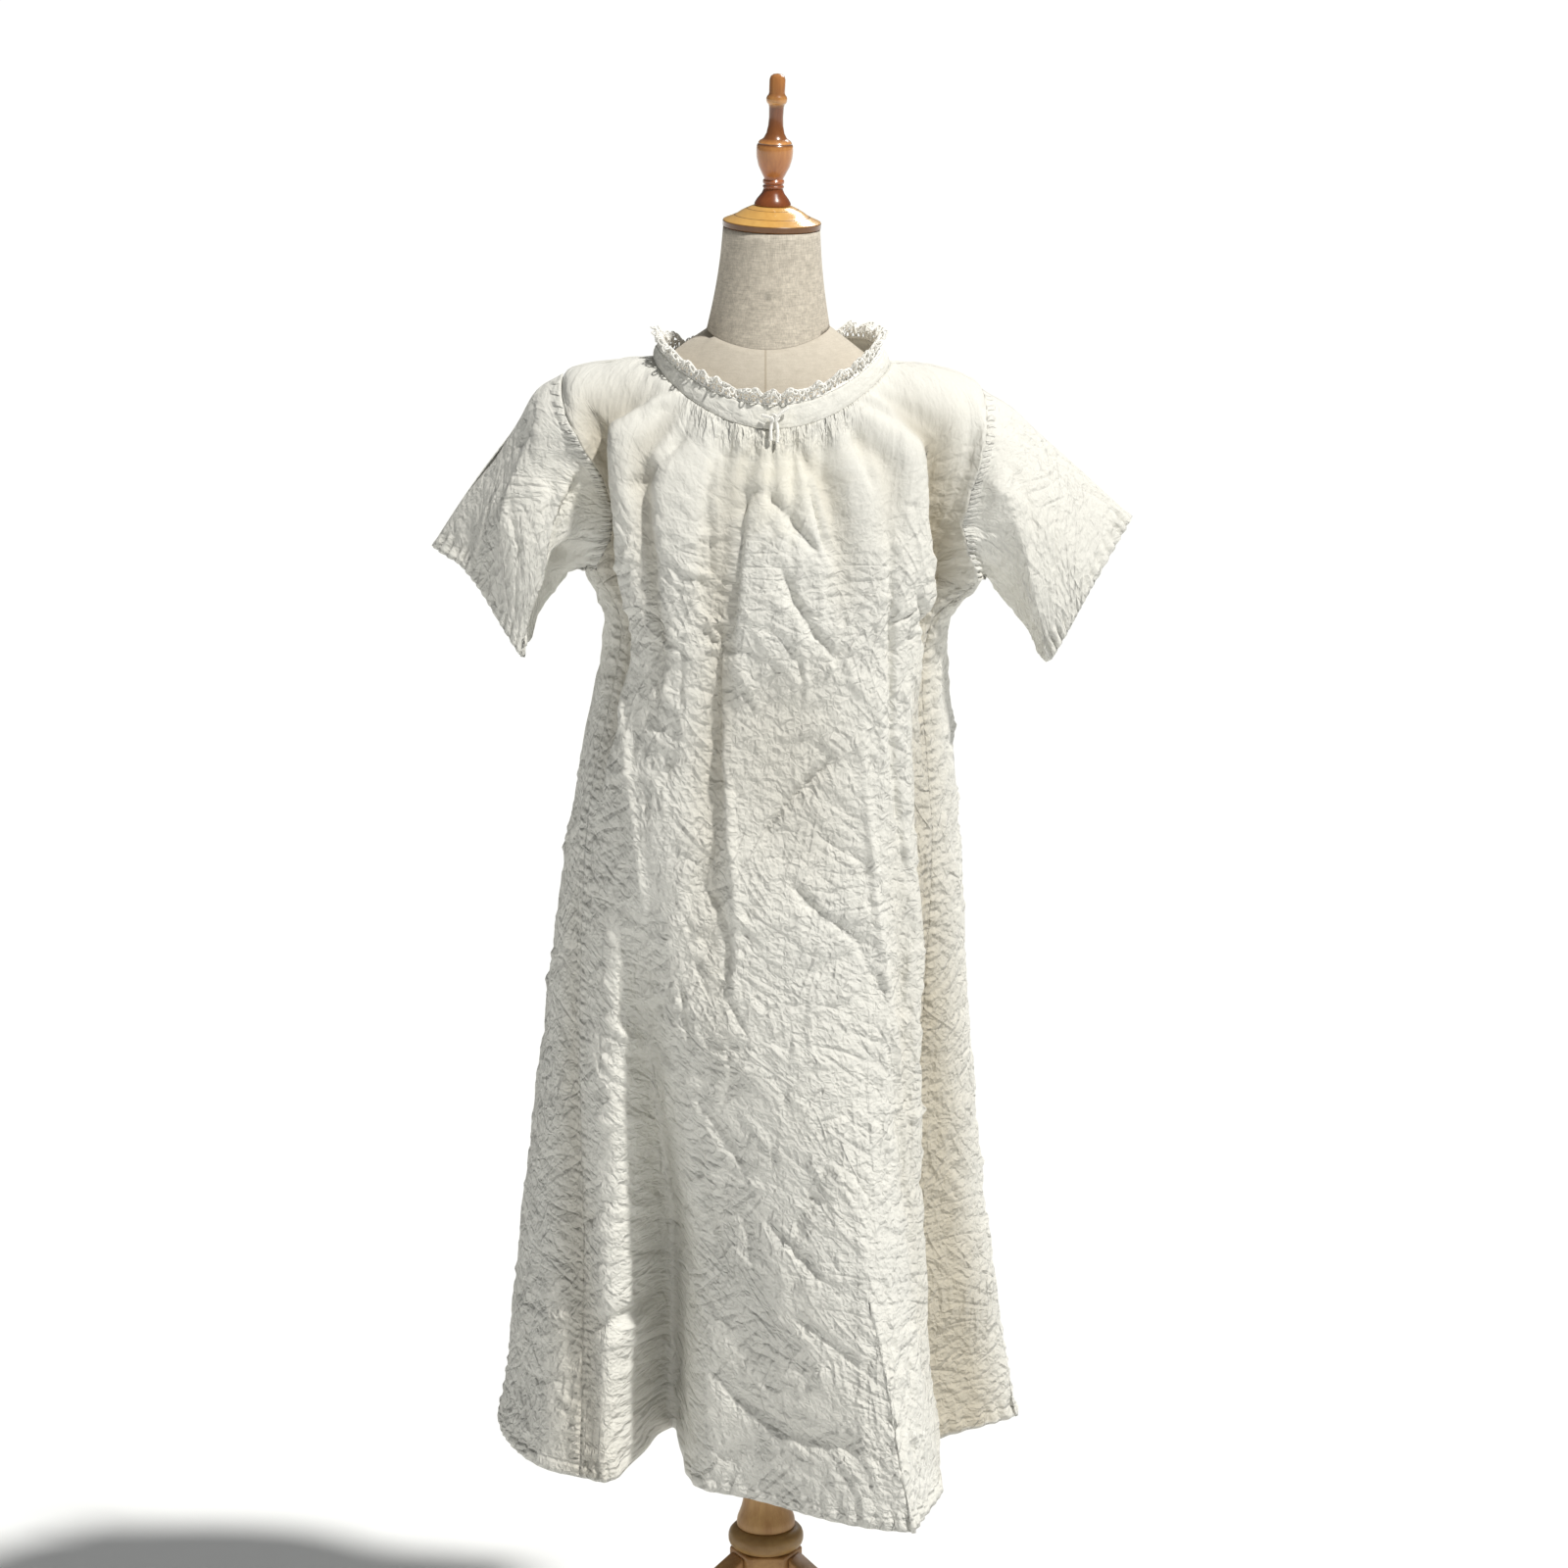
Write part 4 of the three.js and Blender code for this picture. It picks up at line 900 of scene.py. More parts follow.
def build_drawstring_end(name, side, eyelet, fall):
    """One end of the string: out of its eyelet, through the knot and down."""
    inner = tuple(0.5 * np.array(eyelet) + (0, -1.8, 0))
    route = smooth_route([KNOT + eyelet, KNOT + inner, KNOT + (side * 1.4, -2.6, -0.6),
                          KNOT + (side * 2.2, -1.8, -5), KNOT + (side * 2.9, -3.8, -9),
                          KNOT + (side * 3.1, -6.4, -14), KNOT + (side * 2.6, -8.9, -fall)], 30)
    piece = thread_mesh(name, plied(route, CORD_RADIUS, CORD_PLIES, CORD_LAY), PLY_RADIUS, 2)
    return piece, route


def build_knot():
    """The overhand knot that both ends pass through."""
    turn = np.linspace(0, 2 * np.pi, 60, endpoint=False)
    reach = 2.4 + 1.2 * np.cos(3 * turn)
    loop = np.stack([1.2 * reach * np.cos(2 * turn), 1.8 * np.sin(3 * turn) - 0.8,
                     reach * np.sin(2 * turn)], 1)
    return thread_mesh("knot", [(KNOT + loop, True)], 1.05, 2)


# ------------------------------------------------------------------ form and stand
NECK_X, NECK_TOP, LEAN, CAP_HEIGHT, GAP = 3.5, 1536.7, 2.3, 20, 0.3
# Turned profiles as rows of (height, radius), from the lower end of the axis to the upper one.
CAP_PROFILE = [(0, 0), (0, 43.6), (0.9, 44.9), (5.4, 45), (6.4, 44.4), (7.2, 42.8), (10.2, 35.6),
               (10.8, 34.6), (11.1, 33.4), (14.6, 28.6), (16.9, 24.4), (17.3, 23.6), (17.7, 22.6),
               (19.2, 19.6),
               (20, 17.4), (20, 0)]
FINIAL_PROFILE = [(0, 0), (0, 16.2), (1.2, 16.8), (2.6, 16.4), (6, 14.4), (11, 10.5), (14.4, 9),
                  (15.4, 8.8), (16.4, 9.7), (17.6, 9.7), (18.6, 8.8), (19.4, 8.8), (20.6, 9.8), (22.4, 9.8),
                  (23.8, 8.8), (25, 8.9), (28, 10.6), (36, 14.5), (44, 16.5), (50, 16.8), (54, 16.5),
                  (55.2, 16), (56, 15.2), (56.8, 15.4), (58.6, 14.2), (60, 11.8), (61, 10.6),
                  (65.6, 8.2), (72, 7), (80, 6.5), (89, 6.8), (91.6, 7.4), (92.6, 8.6), (94.4, 9.4),
                  (96.8, 9.6), (99, 8.8),
                  (100.4, 7.6), (102, 7.3), (114, 7.3), (117, 6.2), (118.8, 3.8), (119.4, 0)]
POLE_PROFILE = [(265.3, 0), (265.3, 27), (266.6, 28.2), (269.4, 28.5), (274, 27.8), (279, 26),
                (284, 24.2), (290, 22.7), (298, 21.5), (308, 20.8), (322, 20.4), (799.7, 20.4), (799.7, 0)]
RING_PROFILE = [(-11, 0), (-11, 27.6), (-10.2, 30.6), (-8.2, 33.6), (-5.6, 35.6), (-2.8, 36.5),
                (0, 36.7), (2.8, 36.5), (5.6, 35.6), (8.2, 33.6), (10.2, 30.6), (11, 27.6), (11, 0)]


def solid_grid(points):
    """A closed round solid on a grid of rows; rows that shrink to a point become its poles."""
    deselect()
    rows, columns = points.shape[:2]
    bpy.ops.mesh.primitive_grid_add(x_subdivisions=columns - 1, y_subdivisions=rows - 1)
    piece = bpy.context.object
    spots = (points + ORIGIN) * MM
    piece.data.vertices.foreach_set("co", spots.reshape(-1).astype(np.float32))
    piece.data.update()
    in_edit_mode(piece, lambda: bpy.ops.mesh.remove_doubles(threshold=1e-5),
                 lambda: bpy.ops.mesh.normals_make_consistent(inside=False))
    return piece


def turned(profile, place, lean=0.0, segments=96):
    """A lathe piece from (height, radius) rows, set at a place and leaned about it."""
    turn = 2 * np.pi * np.arange(segments + 1) / segments
    height, radius = np.array(profile, float).T
    x = radius[:, None] * np.cos(turn)
    y = radius[:, None] * np.sin(turn)
    z = np.repeat(height[:, None], segments + 1, axis=1)
    angle = math.radians(lean)
    leaned = np.stack([x * math.cos(angle) + z * math.sin(angle), y,
                       z * math.cos(angle) - x * math.sin(angle)], -1)
    piece = solid_grid(leaned + np.array(place, float))
    smooth(piece, 32)
    return piece


def on_neck(height):
    angle = math.radians(LEAN)
    return (NECK_X + height * math.sin(angle), 0, NECK_TOP + height * math.cos(angle))


def refined_copy(node, levels, crease=None, bevel=None):
    """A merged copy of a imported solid, rounded by subdivision or with its edges bevelled."""
    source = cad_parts[node]
    piece = bpy.data.objects.new(node, source.data.copy())
    bpy.context.scene.collection.objects.link(piece)
    in_edit_mode(piece, lambda: bpy.ops.mesh.remove_doubles(threshold=1e-5),
                 lambda: bpy.ops.mesh.dissolve_limited(angle_limit=math.radians(0.5)) if bevel else None,
                 lambda: bpy.ops.mesh.tris_convert_to_quads(face_threshold=0.7, shape_threshold=0.7))
    if bevel:
        apply_modifier(piece, "BEVEL", width=bevel * MM, segments=3, limit_method="ANGLE",
                       angle_limit=math.radians(35))
        smooth(piece, 40)
        return piece
    shape = bmesh.new()
    shape.from_mesh(piece.data)
    layer = shape.edges.layers.float.new("crease_edge")
    for edge in shape.edges:
        if len(edge.link_faces) == 2 and edge.calc_face_angle(0) > math.radians(crease):
            edge[layer] = 1.0
    shape.to_mesh(piece.data)
    shape.free()
    apply_modifier(piece, "SUBSURF", levels=levels, render_levels=levels)
    smooth(piece, 50)
    return piece


# ------------------------------------------------------------------ materials
class Paint:
    """A new material with short words for its nodes."""

    def __init__(self, name):
        self.material = bpy.data.materials.new(name)
        self.material.use_nodes = True
        self.tree = self.material.node_tree
        self.surface = self.tree.nodes["Principled BSDF"]

    def add(self, kind, out=0, inputs=(), **settings):
        node = self.tree.nodes.new("ShaderNode" + kind)
        for key, value in settings.items():
            setattr(node, key, value)
        for key, value in dict(inputs).items():
            self.feed(node.inputs[key], value)
        return node.outputs[out]

    def feed(self, socket, value):
        if isinstance(value, bpy.types.NodeSocket):
            self.tree.links.new(value, socket)
        else:
            socket.default_value = value

    def set(self, **values):
        for key, value in values.items():
            self.feed(self.surface.inputs[key.replace("_", " ")], value)

    def place(self, uv=False, scale=(1, 1, 1), turn=(0, 0, 0), move=(0, 0, 0)):
        source = self.add("TexCoord", "UV" if uv else "Object")
        return self.add("Mapping", inputs={"Vector": source, "Location": move, "Rotation": turn,
                                           "Scale": scale})

    def noise(self, vector, scale, detail=3.0, rough=0.55):
        return self.add("TexNoise", "Fac", {"Vector": vector, "Scale": scale, "Detail": detail,
                                            "Roughness": rough})

    def ramp(self, value, *stops):
        node = self.tree.nodes.new("ShaderNodeValToRGB")
        self.feed(node.inputs[0], value)
        while len(node.color_ramp.elements) < len(stops):
            node.color_ramp.elements.new(0.5)
        for element, (place, colour) in zip(node.color_ramp.elements, stops):
            element.position = place
            element.color = (*colour, 1) if len(colour) == 3 else (*(colour * 3), 1)
        return node.outputs[0]

    def mix(self, share, first, second, blend="MIX"):
        node = self.tree.nodes.new("ShaderNodeMix")
        node.data_type = "RGBA"
        node.blend_type = blend
        self.feed(node.inputs[0], share)
        for socket, value in ((node.inputs[6], first), (node.inputs[7], second)):
            self.feed(socket, (*value, 1) if isinstance(value, tuple) and len(value) == 3 else value)
        return node.outputs[2]

    def sum(self, kind, first, second=0.5, clamp=False):
        node = self.tree.nodes.new("ShaderNodeMath")
        node.operation = kind
        node.use_clamp = clamp
        self.feed(node.inputs[0], first)
        self.feed(node.inputs[1], second)
        return node.outputs[0]

    def times(self, first, second):
        return self.sum("MULTIPLY", first, second)

    def plus(self, first, second):
        return self.sum("ADD", first, second)

    def minus(self, first, second, clamp=False):
        return self.sum("SUBTRACT", first, second, clamp)

    def over(self, first, second):
        return self.sum("DIVIDE", first, second)

    def size(self, value):
        return self.sum("ABSOLUTE", value)

    def part(self, vector, axis):
        return self.add("SeparateXYZ", axis, {0: vector})

    def stretched(self, vector, share):
        return self.add("VectorMath", inputs={0: vector, "Scale": share}, operation="SCALE")

    def moved(self, vector, shift):
        return self.add("VectorMath", inputs={0: vector, 1: shift}, operation="ADD")

    def swirl(self, vector, scale, detail):
        """Three noises in one, to bend the coordinates of a pattern."""
        return self.add("TexNoise", "Color", {"Vector": vector, "Scale": scale, "Detail": detail})

    def waves(self, along, length, flat, scale, sway):
        """A sine of one length along the cloth, which a noise makes uneven."""
        phase = self.times(along, 2 * math.pi / length)
        return self.sum("SINE", self.plus(phase, self.times(self.noise(flat, scale, 1), sway)))

    def bump(self, height, strength, distance, normal=None):
        inputs = {"Height": height, "Strength": strength, "Distance": distance}
        if normal is not None:
            inputs["Normal"] = normal
        return self.add("Bump", inputs=inputs)


YARN_WAVES = 0.05 * 6.283 / 3.1416


def weave_height(paint, pitch):
    """Thick and thin yarns both ways, each faded by a wave that is far broader than a yarn."""
    flat = paint.place(uv=True)
    uneven = paint.moved(flat, paint.stretched(paint.swirl(flat, 90.0, 2.0), 0.0012))
    bands = {"Vector": uneven, "Scale": YARN_WAVES / pitch, "Distortion": 0.0}
    warp = paint.add("TexWave", "Fac", bands, bands_direction="X")
    weft = paint.add("TexWave", "Fac", bands, bands_direction="Y")
    slub_x = paint.noise(paint.place(uv=True, scale=(900, 25, 1)), 1.0, 2)
    slub_y = paint.noise(paint.place(uv=True, scale=(25, 900, 1)), 1.0, 2)
    return paint.plus(paint.times(warp, slub_x), paint.times(weft, slub_y))


# Sharp creases lie in patches, each family in one direction, by turns a trough and a ridge:
# (turn, how many a metre along, how many across, mm high).
CREASE_FAMILIES = [(31, 11, 52, 1.5), (63, 16, 70, 1.1), (-36, 10, 56, 1.5), (-70, 15, 80, 1.1),
                   (8, 14, 64, 0.9), (97, 12, 50, 1.2)]
FACETS = [(34.0, -4.0), (80.0, 3.0), (210.0, -1.6)]     # (how many a metre, mm for each cell)
SLEEVE_FROM, SLEEVE_CALM = 0.9, 0.2  # sleeves lie beyond this many metres across, and are calmer


def crumple_height(paint):
    """Height of the crumple in mm: families of straight creases over small faceted dents."""
    flat = paint.place(uv=True)
    patches = [paint.swirl(paint.place(uv=True, move=(k, 0, 0)), 14.0, 0.0) for k in (0, 0.37)]
    swirled = paint.moved(flat, paint.stretched(paint.swirl(flat, 9.0, 0.0), 0.035))
    height = None
    for k, (turn, along, over, high) in enumerate(CREASE_FAMILIES):
        where = paint.add("Mapping", inputs={
            "Vector": swirled, "Scale": (1 / along, 1 / over, 1), "Location": (3.1 * k, 1.7 * k, 0),
            "Rotation": (0, 0, math.radians(turn))}, vector_type="TEXTURE")
        off = paint.size(paint.minus(paint.noise(where, 1.0, 0), 0.5))
        line = paint.minus(1.0, paint.over(off, 0.1), clamp=True)
        patch = paint.part(patches[k // 3], k % 3)
        share = paint.times(line, paint.ramp(patch, (0.5, (0,)), (0.62, (1,))))
        share = paint.times(share, high if k % 2 else -high)
        height = share if height is None else paint.plus(height, share)
    sway = paint.swirl(flat, 75.0, 1.0)
    for scale, high in FACETS:
        bent = paint.moved(flat, paint.stretched(sway, 1.1 / scale))
        dent = paint.add("TexVoronoi", "Distance", {"Vector": bent, "Scale": scale},
                         feature="DISTANCE_TO_EDGE")
        height = paint.plus(height, paint.times(dent, high))
    share = paint.ramp(paint.part(flat, 1), (0.04, (0.22,)), (0.2, (0.9,)), (0.5, (1,)))
    sleeve = paint.sum("GREATER_THAN", paint.part(flat, 0), SLEEVE_FROM)
    share = paint.times(share, paint.minus(1.0, paint.times(sleeve, SLEEVE_CALM)))
    return paint.times(height, share)


def relief_height(paint):
    """All the relief in mm that the cloth's mesh is too coarse for."""
    flat = paint.place(uv=True)
    total = crumple_height(paint)
    for part in (gather_height, hem_height, seam_height, stitch_height):
        total = paint.plus(total, part(paint, flat))
    return total


def seam_height(paint, flat):
    """Height in mm of the small puckers that the stitches draw beside the long seams."""
    wave = paint.waves(paint.part(flat, 1), 0.008, flat, 50.0, 6.0)
    near = paint.add("Attribute", "Fac", attribute_name="seam")
    return paint.times(paint.times(wave, near), 0.55)


HEM_FOOT = HEM_AT * MM
HEM_TOP, HEM_FULL, HEM_LINE = HEM_FOOT - 0.028, HEM_FOOT - 0.014, HEM_FOOT - 0.0115


def hem_height(paint, flat):
    """Height in mm of the small puckers and the stitch line of the skirt's turned hem."""
    below = paint.part(flat, 1)
    slant = paint.plus(paint.part(flat, 0), paint.times(below, 0.6))
    wave = paint.waves(slant, 0.0085, flat, 45.0, 7.0)
    band = paint.ramp(below, (HEM_TOP, (0,)), (HEM_FULL, (1,)))
    off = paint.size(paint.minus(below, HEM_LINE))
    line = paint.ramp(paint.over(off, 0.0025), (0.2, (1,)), (1.0, (0,)))
    return paint.minus(paint.times(wave, band), paint.times(line, 1.2))


def stitch_height(paint, flat):
    """Height in mm of the overcast stitches on the sleeves' seams."""
    along = paint.part(flat, 0)
    dash = paint.ramp(paint.waves(along, 0.0062, flat, 60.0, 5.0), (0.1, (0,)), (0.7, (1,)))
    off = paint.size(paint.minus(paint.part(flat, 1), (SLEEVE_DOWN + 5.5) * MM))
    band = paint.ramp(paint.over(off, 0.008), (0.3, (1,)), (0.75, (0,)))
    sleeve = paint.sum("GREATER_THAN", along, SLEEVE_FROM)
    return paint.times(dash, paint.times(band, paint.times(sleeve, 1.6)))


def gather_height(paint, flat):
    """Height in mm of the smallest puckers, which sit close under the neckband."""
    aside, below = paint.size(paint.part(flat, 0)), paint.part(flat, 1)
    puckers = paint.noise(paint.place(uv=True, scale=(230, 75, 1)), 1.0, 2)
    share = paint.times(paint.ramp(below, (0.0, (1,)), (0.012, (0.8,)), (0.03, (0,))),
                        paint.ramp(aside, (0.07, (1,)), (0.1, (0.1,))))
    return paint.times(paint.times(puckers, share), 9.0)


def stain(paint, colour, spot, size, tint, strength):
    """Tints the cloth softly round one place."""
    middle = tuple((np.array(spot) + ORIGIN) * MM)
    where = paint.place()
    away = paint.add("VectorMath", "Value", {0: where, 1: middle}, operation="DISTANCE")
    ragged = paint.plus(away, paint.times(paint.noise(where, 90.0, 4), size * MM * 0.9))
    share = paint.ramp(paint.over(ragged, size * MM * 1.6), (0.25, (strength,)), (1.0, (0,)))
    return paint.mix(share, colour, tint)


STAINS = [
    # (place, size, tint, strength)
    ((-66, -145, 1216), 9, (0.66, 0.45, 0.27), 0.6),
    ((-54, -145, 1206), 7, (0.66, 0.45, 0.27), 0.5),
    ((88, -200, 494), 3, (0.20, 0.17, 0.12), 0.8),
    ((10, -118, 1330), 60, (0.80, 0.74, 0.55), 0.35),
    ((-150, -60, 1300), 40, (0.76, 0.70, 0.52), 0.3),
]


def cloth_paint(look):
    """The dress's cloth: mottled, stained, with painted shade where folds lie deep, crumpled and slubbed.
    """
    paint = Paint("washed cotton linen")
    where = paint.place()
    broad = paint.noise(where, 5.5, 3)
    colour = paint.mix(paint.ramp(broad, (0.35, (0,)), (0.7, (1,))), tuple(look.cloth_colour),
                       tuple(look.cloth_shade))
    for spot, size, tint, strength in STAINS:
        colour = stain(paint, colour, spot, size, tint, strength)
    # Painted shade: where the large folds lie deep, the cloth is darkened towards a warm beige.
    painted_fold_shade = paint.add("Attribute", "Fac", attribute_name="painted_fold_shade")
    colour = paint.mix(paint.times(painted_fold_shade, 0.9), colour, (0.50, 0.455, 0.36))
    weave = weave_height(paint, look.yarn / MM)
    specks = paint.noise(paint.place(uv=True), 700.0, 2)
    colour = paint.mix(paint.ramp(specks, (0.3, (0.0,)), (0.8, (0.16,))), colour, (0.52, 0.47, 0.37))
    normal = paint.bump(relief_height(paint), 1.0, MM)
    normal = paint.bump(weave, look.weave, 0.0005, normal)
    paint.set(Base_Color=colour, Roughness=0.88, Normal=normal, Sheen_Weight=0.12,
              Sheen_Roughness=0.5, Specular_IOR_Level=0.25)
    return paint.material


def thread_paint(name, colour):
    """Fuzzy cotton thread."""
    paint = Paint(name)
    fuzz = paint.noise(paint.place(scale=(1500, 1500, 1500)), 1.0, 3)
    shade = paint.mix(paint.ramp(fuzz, (0.3, (0,)), (0.75, (0.4,))), colour, (0.72, 0.69, 0.62))
    paint.set(Base_Color=shade, Roughness=0.85, Sheen_Weight=0.15, Specular_IOR_Level=0.25,
              Normal=paint.bump(fuzz, 0.5, 0.0003))
    return paint.material


def linen_paint(name, colour, shade, contrast):
    """Linen of crossed slubs with a mottle; gives the paint and its tone."""
    paint = Paint(name)
    tall = paint.noise(paint.place(scale=(1400, 1400, 90)), 1.0, 3, 0.65)
    wide = paint.noise(paint.place(scale=(90, 90, 1400)), 1.0, 3, 0.65)
    cross = paint.plus(paint.times(tall, 0.5), paint.times(wide, 0.5))
    mottle = paint.noise(paint.place(scale=(160, 160, 160)), 1.0, 4, 0.7)
    value = paint.plus(paint.times(cross, 0.65), paint.times(mottle, 0.35))
    share = paint.ramp(value, (0.36, (0,)), (0.62, (contrast,)))
    tone = paint.mix(share, colour, shade)
    paint.set(Base_Color=tone, Roughness=0.92, Sheen_Weight=0.1, Specular_IOR_Level=0.2,
              Normal=paint.bump(cross, 0.55, 0.0006))
    return paint, tone


def neck_paint(look):
    """The neck's coarse linen with its small plain mark."""
    paint, tone = linen_paint("neck linen", tuple(look.neck_colour), (0.76, 0.69, 0.58), 1.0)
    tone = stain(paint, tone, (0, -46, 1481), 5.5, (0.09, 0.09, 0.08), 0.95)
    paint.set(Base_Color=tone)
    return paint.material


def torso_paint(look):
    """The torso's linen with the seam down its middle."""
    paint, tone = linen_paint("torso linen", tuple(look.torso_colour), (0.45, 0.40, 0.32), 0.6)
    across = paint.part(paint.place(), 0)
    seam = paint.size(paint.minus(across, float(ORIGIN[0] - 2) * MM))
    line = paint.ramp(paint.over(seam, 0.004), (0.1, (0.55,)), (0.35, (0,)))
    paint.set(Base_Color=paint.mix(line, tone, (0.36, 0.29, 0.20)))
    return paint.material


def wood_paint(name, light, dark, scale=(70, 70, 4), share=1.0, coat=0.0, rough=0.45):
    paint = Paint(name)
    where = paint.place(scale=scale)
    grain = paint.noise(where, 1.0, 6, 0.65)
    fine = paint.noise(paint.place(scale=tuple(6 * s for s in scale)), 1.0, 3, 0.6)
    value = paint.plus(paint.times(grain, 0.75), paint.times(fine, 0.25))
    tone = paint.mix(paint.ramp(value, (0.38, (0,)), (0.62, (share,))), light, dark)
    paint.set(Base_Color=tone, Roughness=rough, Coat_Weight=coat, Coat_Roughness=0.12,
              Normal=paint.bump(value, 0.25, 0.0006))
    return paint, tone


def by_height(paint, tone, base, top, lean, stops):
    """Multiplies a tone with colours that change along a turned piece's own axis."""
    angle = math.radians(lean)
    foot = (np.array(base) + ORIGIN) * MM
    turned_back = Vector((math.cos(angle) * foot[0] - math.sin(angle) * foot[2], foot[1],
                          math.sin(angle) * foot[0] + math.cos(angle) * foot[2]))
    own = paint.place(turn=(0, -angle, 0), move=tuple(-turned_back))
    height = paint.over(paint.part(own, 2), top * MM)
    return paint.mix(1.0, tone, paint.ramp(height, *stops), "MULTIPLY")


def cap_paint():
    paint, tone = wood_paint("amber varnish", (0.80, 0.47, 0.13), (0.62, 0.32, 0.08), (40, 12, 40),
                             0.7, 0.6, 0.3)
    full, dark = (1, 1, 1), (0.22, 0.15, 0.10)
    stops = [(0.0, dark), (0.29, dark), (0.315, full), (0.525, full), (0.54, dark), (0.555, full),
             (0.85, full), (0.865, dark), (0.88, full)]
    paint.set(Base_Color=by_height(paint, tone, on_neck(GAP), CAP_HEIGHT, LEAN, stops))
    return paint.material


def finial_paint():
    paint, tone = wood_paint("brown varnish", (0.50, 0.22, 0.07), (0.30, 0.11, 0.035), (60, 60, 9),
                             0.8, 0.7, 0.28)
    # Painted highlights and painted shade: the stops lighten the bulb's shoulder, the bead and the top,
    # which face the light, and darken the foot, the groove under the shoulder and the neck under the bead.
    stops = [(0.0, (0.55, 0.36, 0.30)), (0.12, (0.55, 0.34, 0.28)), (0.20, (1.0, 0.72, 0.6)),
             (0.235, (1.15, 0.95, 0.8)), (0.45, (1.3, 1.35, 1.25)), (0.468, (0.35, 0.25, 0.2)),
             (0.48, (1.6, 1.7, 1.5)), (0.51, (0.6, 0.5, 0.45)), (0.74, (0.5, 0.38, 0.32)),
             (0.78, (1.6, 1.9, 1.8)), (0.84, (0.9, 0.9, 0.9)), (1.0, (1.2, 1.2, 1.1))]
    foot = on_neck(CAP_HEIGHT + 2 * GAP)
    finial_height = FINIAL_PROFILE[-1][0]
    paint.set(Base_Color=by_height(paint, tone, foot, finial_height, LEAN, stops))
    return paint.material


# ------------------------------------------------------------------ sizes and colours
class DressLook(bpy.types.PropertyGroup):
    """Sizes of the cloth and its relief, and the colours of every finish."""

    cloth: FloatProperty(name="Cloth", description="Thickness of the dress cloth", default=0.001,
                         unit="LENGTH")
    hem_width: FloatProperty(name="Hem", description="Width of the turned hem", default=0.010,
                             unit="LENGTH")
    crumple: FloatProperty(name="Crumple", description="How deeply washing has crumpled the cloth",
                           default=0.75, min=0, max=3)
    yarn: FloatProperty(name="Yarn", description="Distance between two yarns", default=0.0009,
                        unit="LENGTH", precision=5)
    weave: FloatProperty(name="Weave", description="Strength of the weave's relief", default=0.45,
                         min=0, max=1)
    thread: FloatProperty(name="Thread", description="Thickness of the crochet thread",
                          default=0.0016, unit="LENGTH", precision=5)
    cloth_colour: FloatVectorProperty(name="Cloth colour", description="Lit colour of the cloth",
                                      default=(0.80, 0.79, 0.735), subtype="COLOR")
    cloth_shade: FloatVectorProperty(name="Cloth mottle", description="Its duller patches",
                                     default=(0.75, 0.745, 0.70), subtype="COLOR")
    thread_colour: FloatVectorProperty(name="Thread colour", description="Crochet and drawstring",
                                       default=(0.93, 0.92, 0.88), subtype="COLOR")
    torso_colour: FloatVectorProperty(name="Torso linen", description="Linen of the padded torso",
                                      default=(0.68, 0.62, 0.525), subtype="COLOR")
    neck_colour: FloatVectorProperty(name="Neck linen", description="Dark yarns of the neck linen",
                                     default=(0.38, 0.34, 0.28), subtype="COLOR")


def look_now():
    return bpy.context.scene.dress_look


def shared(name, make, *args):
    """A material that several pieces use, made once."""
    return bpy.data.materials.get(name) or make(*args)


def cloth_material():
    return shared("washed cotton linen", cloth_paint, look_now())


def thread_material():
    return shared("crochet cotton", thread_paint, "crochet cotton", tuple(look_now().thread_colour))


# ------------------------------------------------------------------ operators
class Builder(bpy.types.Operator):
    """Shared behaviour of the building operators"""

    bl_options = {"REGISTER", "UNDO"}

    def execute(self, context):
        self.build(context.scene.dress_look)
        return {"FINISHED"}


class DRESS_OT_drawstring(Builder):
    """Ties the drawstring at the centre of the neckband"""

    bl_idname = "dress.drawstring"
    bl_label = "Drawstring"

    def build(self, look):
        material = thread_material()
        knot = finished(build_knot(), "drawstring_bow", material, "cord", "drawstring_knot")
        for name, side, eyelet, fall in (("right", -1, (-11, 0.6, 2), 19),
                                         ("left", 1, (12.2, 1.4, 9), 21)):
            piece, route = build_drawstring_end("drawstring_" + name, side, eyelet, fall)
            finished(piece, "drawstring_hanging_" + name, material, "cord",
                     "drawstring_end_" + name)


class DRESS_OT_front(Builder):
    """Builds the gathered front panel"""

    bl_idname = "dress.front"
    bl_label = "Front"

    def build(self, look):
        piece = finished(build_front(look), "front_panel", cloth_material(), "dress_cloth",
                         "dress_front")


class DRESS_OT_back(Builder):
    """Builds the gathered back panel"""

    bl_idname = "dress.back"
    bl_label = "Back"

    def build(self, look):
        piece = finished(build_back(look), "back_panel", cloth_material(), "dress_cloth",
                         "dress_back")


class DRESS_OT_gores(Builder):
    """Builds the two side gores"""

    bl_idname = "dress.gores"
    bl_label = "Side gores"

    def build(self, look):
        for side, seed, area in (("left", 21, 0.100), ("right", 22, 0.115)):
            piece = build_gore("gore", side == "left", seed, look)
            finished(piece, f"side_gore_{side}", cloth_material(), "dress_cloth", f"gore_{side}")


class DRESS_OT_sleeves(Builder):
    """Builds the two short sleeves"""

    bl_idname = "dress.sleeves"
    bl_label = "Sleeves"

    def build(self, look):
        for side, seed in (("left", 23), ("right", 24)):
            piece = build_sleeve("sleeve", side == "left", seed, look)
            finished(piece, f"short_sleeve_{side}", cloth_material(), "dress_cloth",
                     f"sleeve_{side}")


class DRESS_OT_neckline(Builder):
    """Builds the neckband and the crocheted edging on it"""

    bl_idname = "dress.neckline"
    bl_label = "Neckband and edging"

    def build(self, look):
        edging = finished(build_lace(look), "crocheted_edging", thread_material(), "lace",
                          "lace_edging")
        band = finished(build_neckband(look), "stitched_neckband", cloth_material(), "dress_cloth",
                        "neckband")


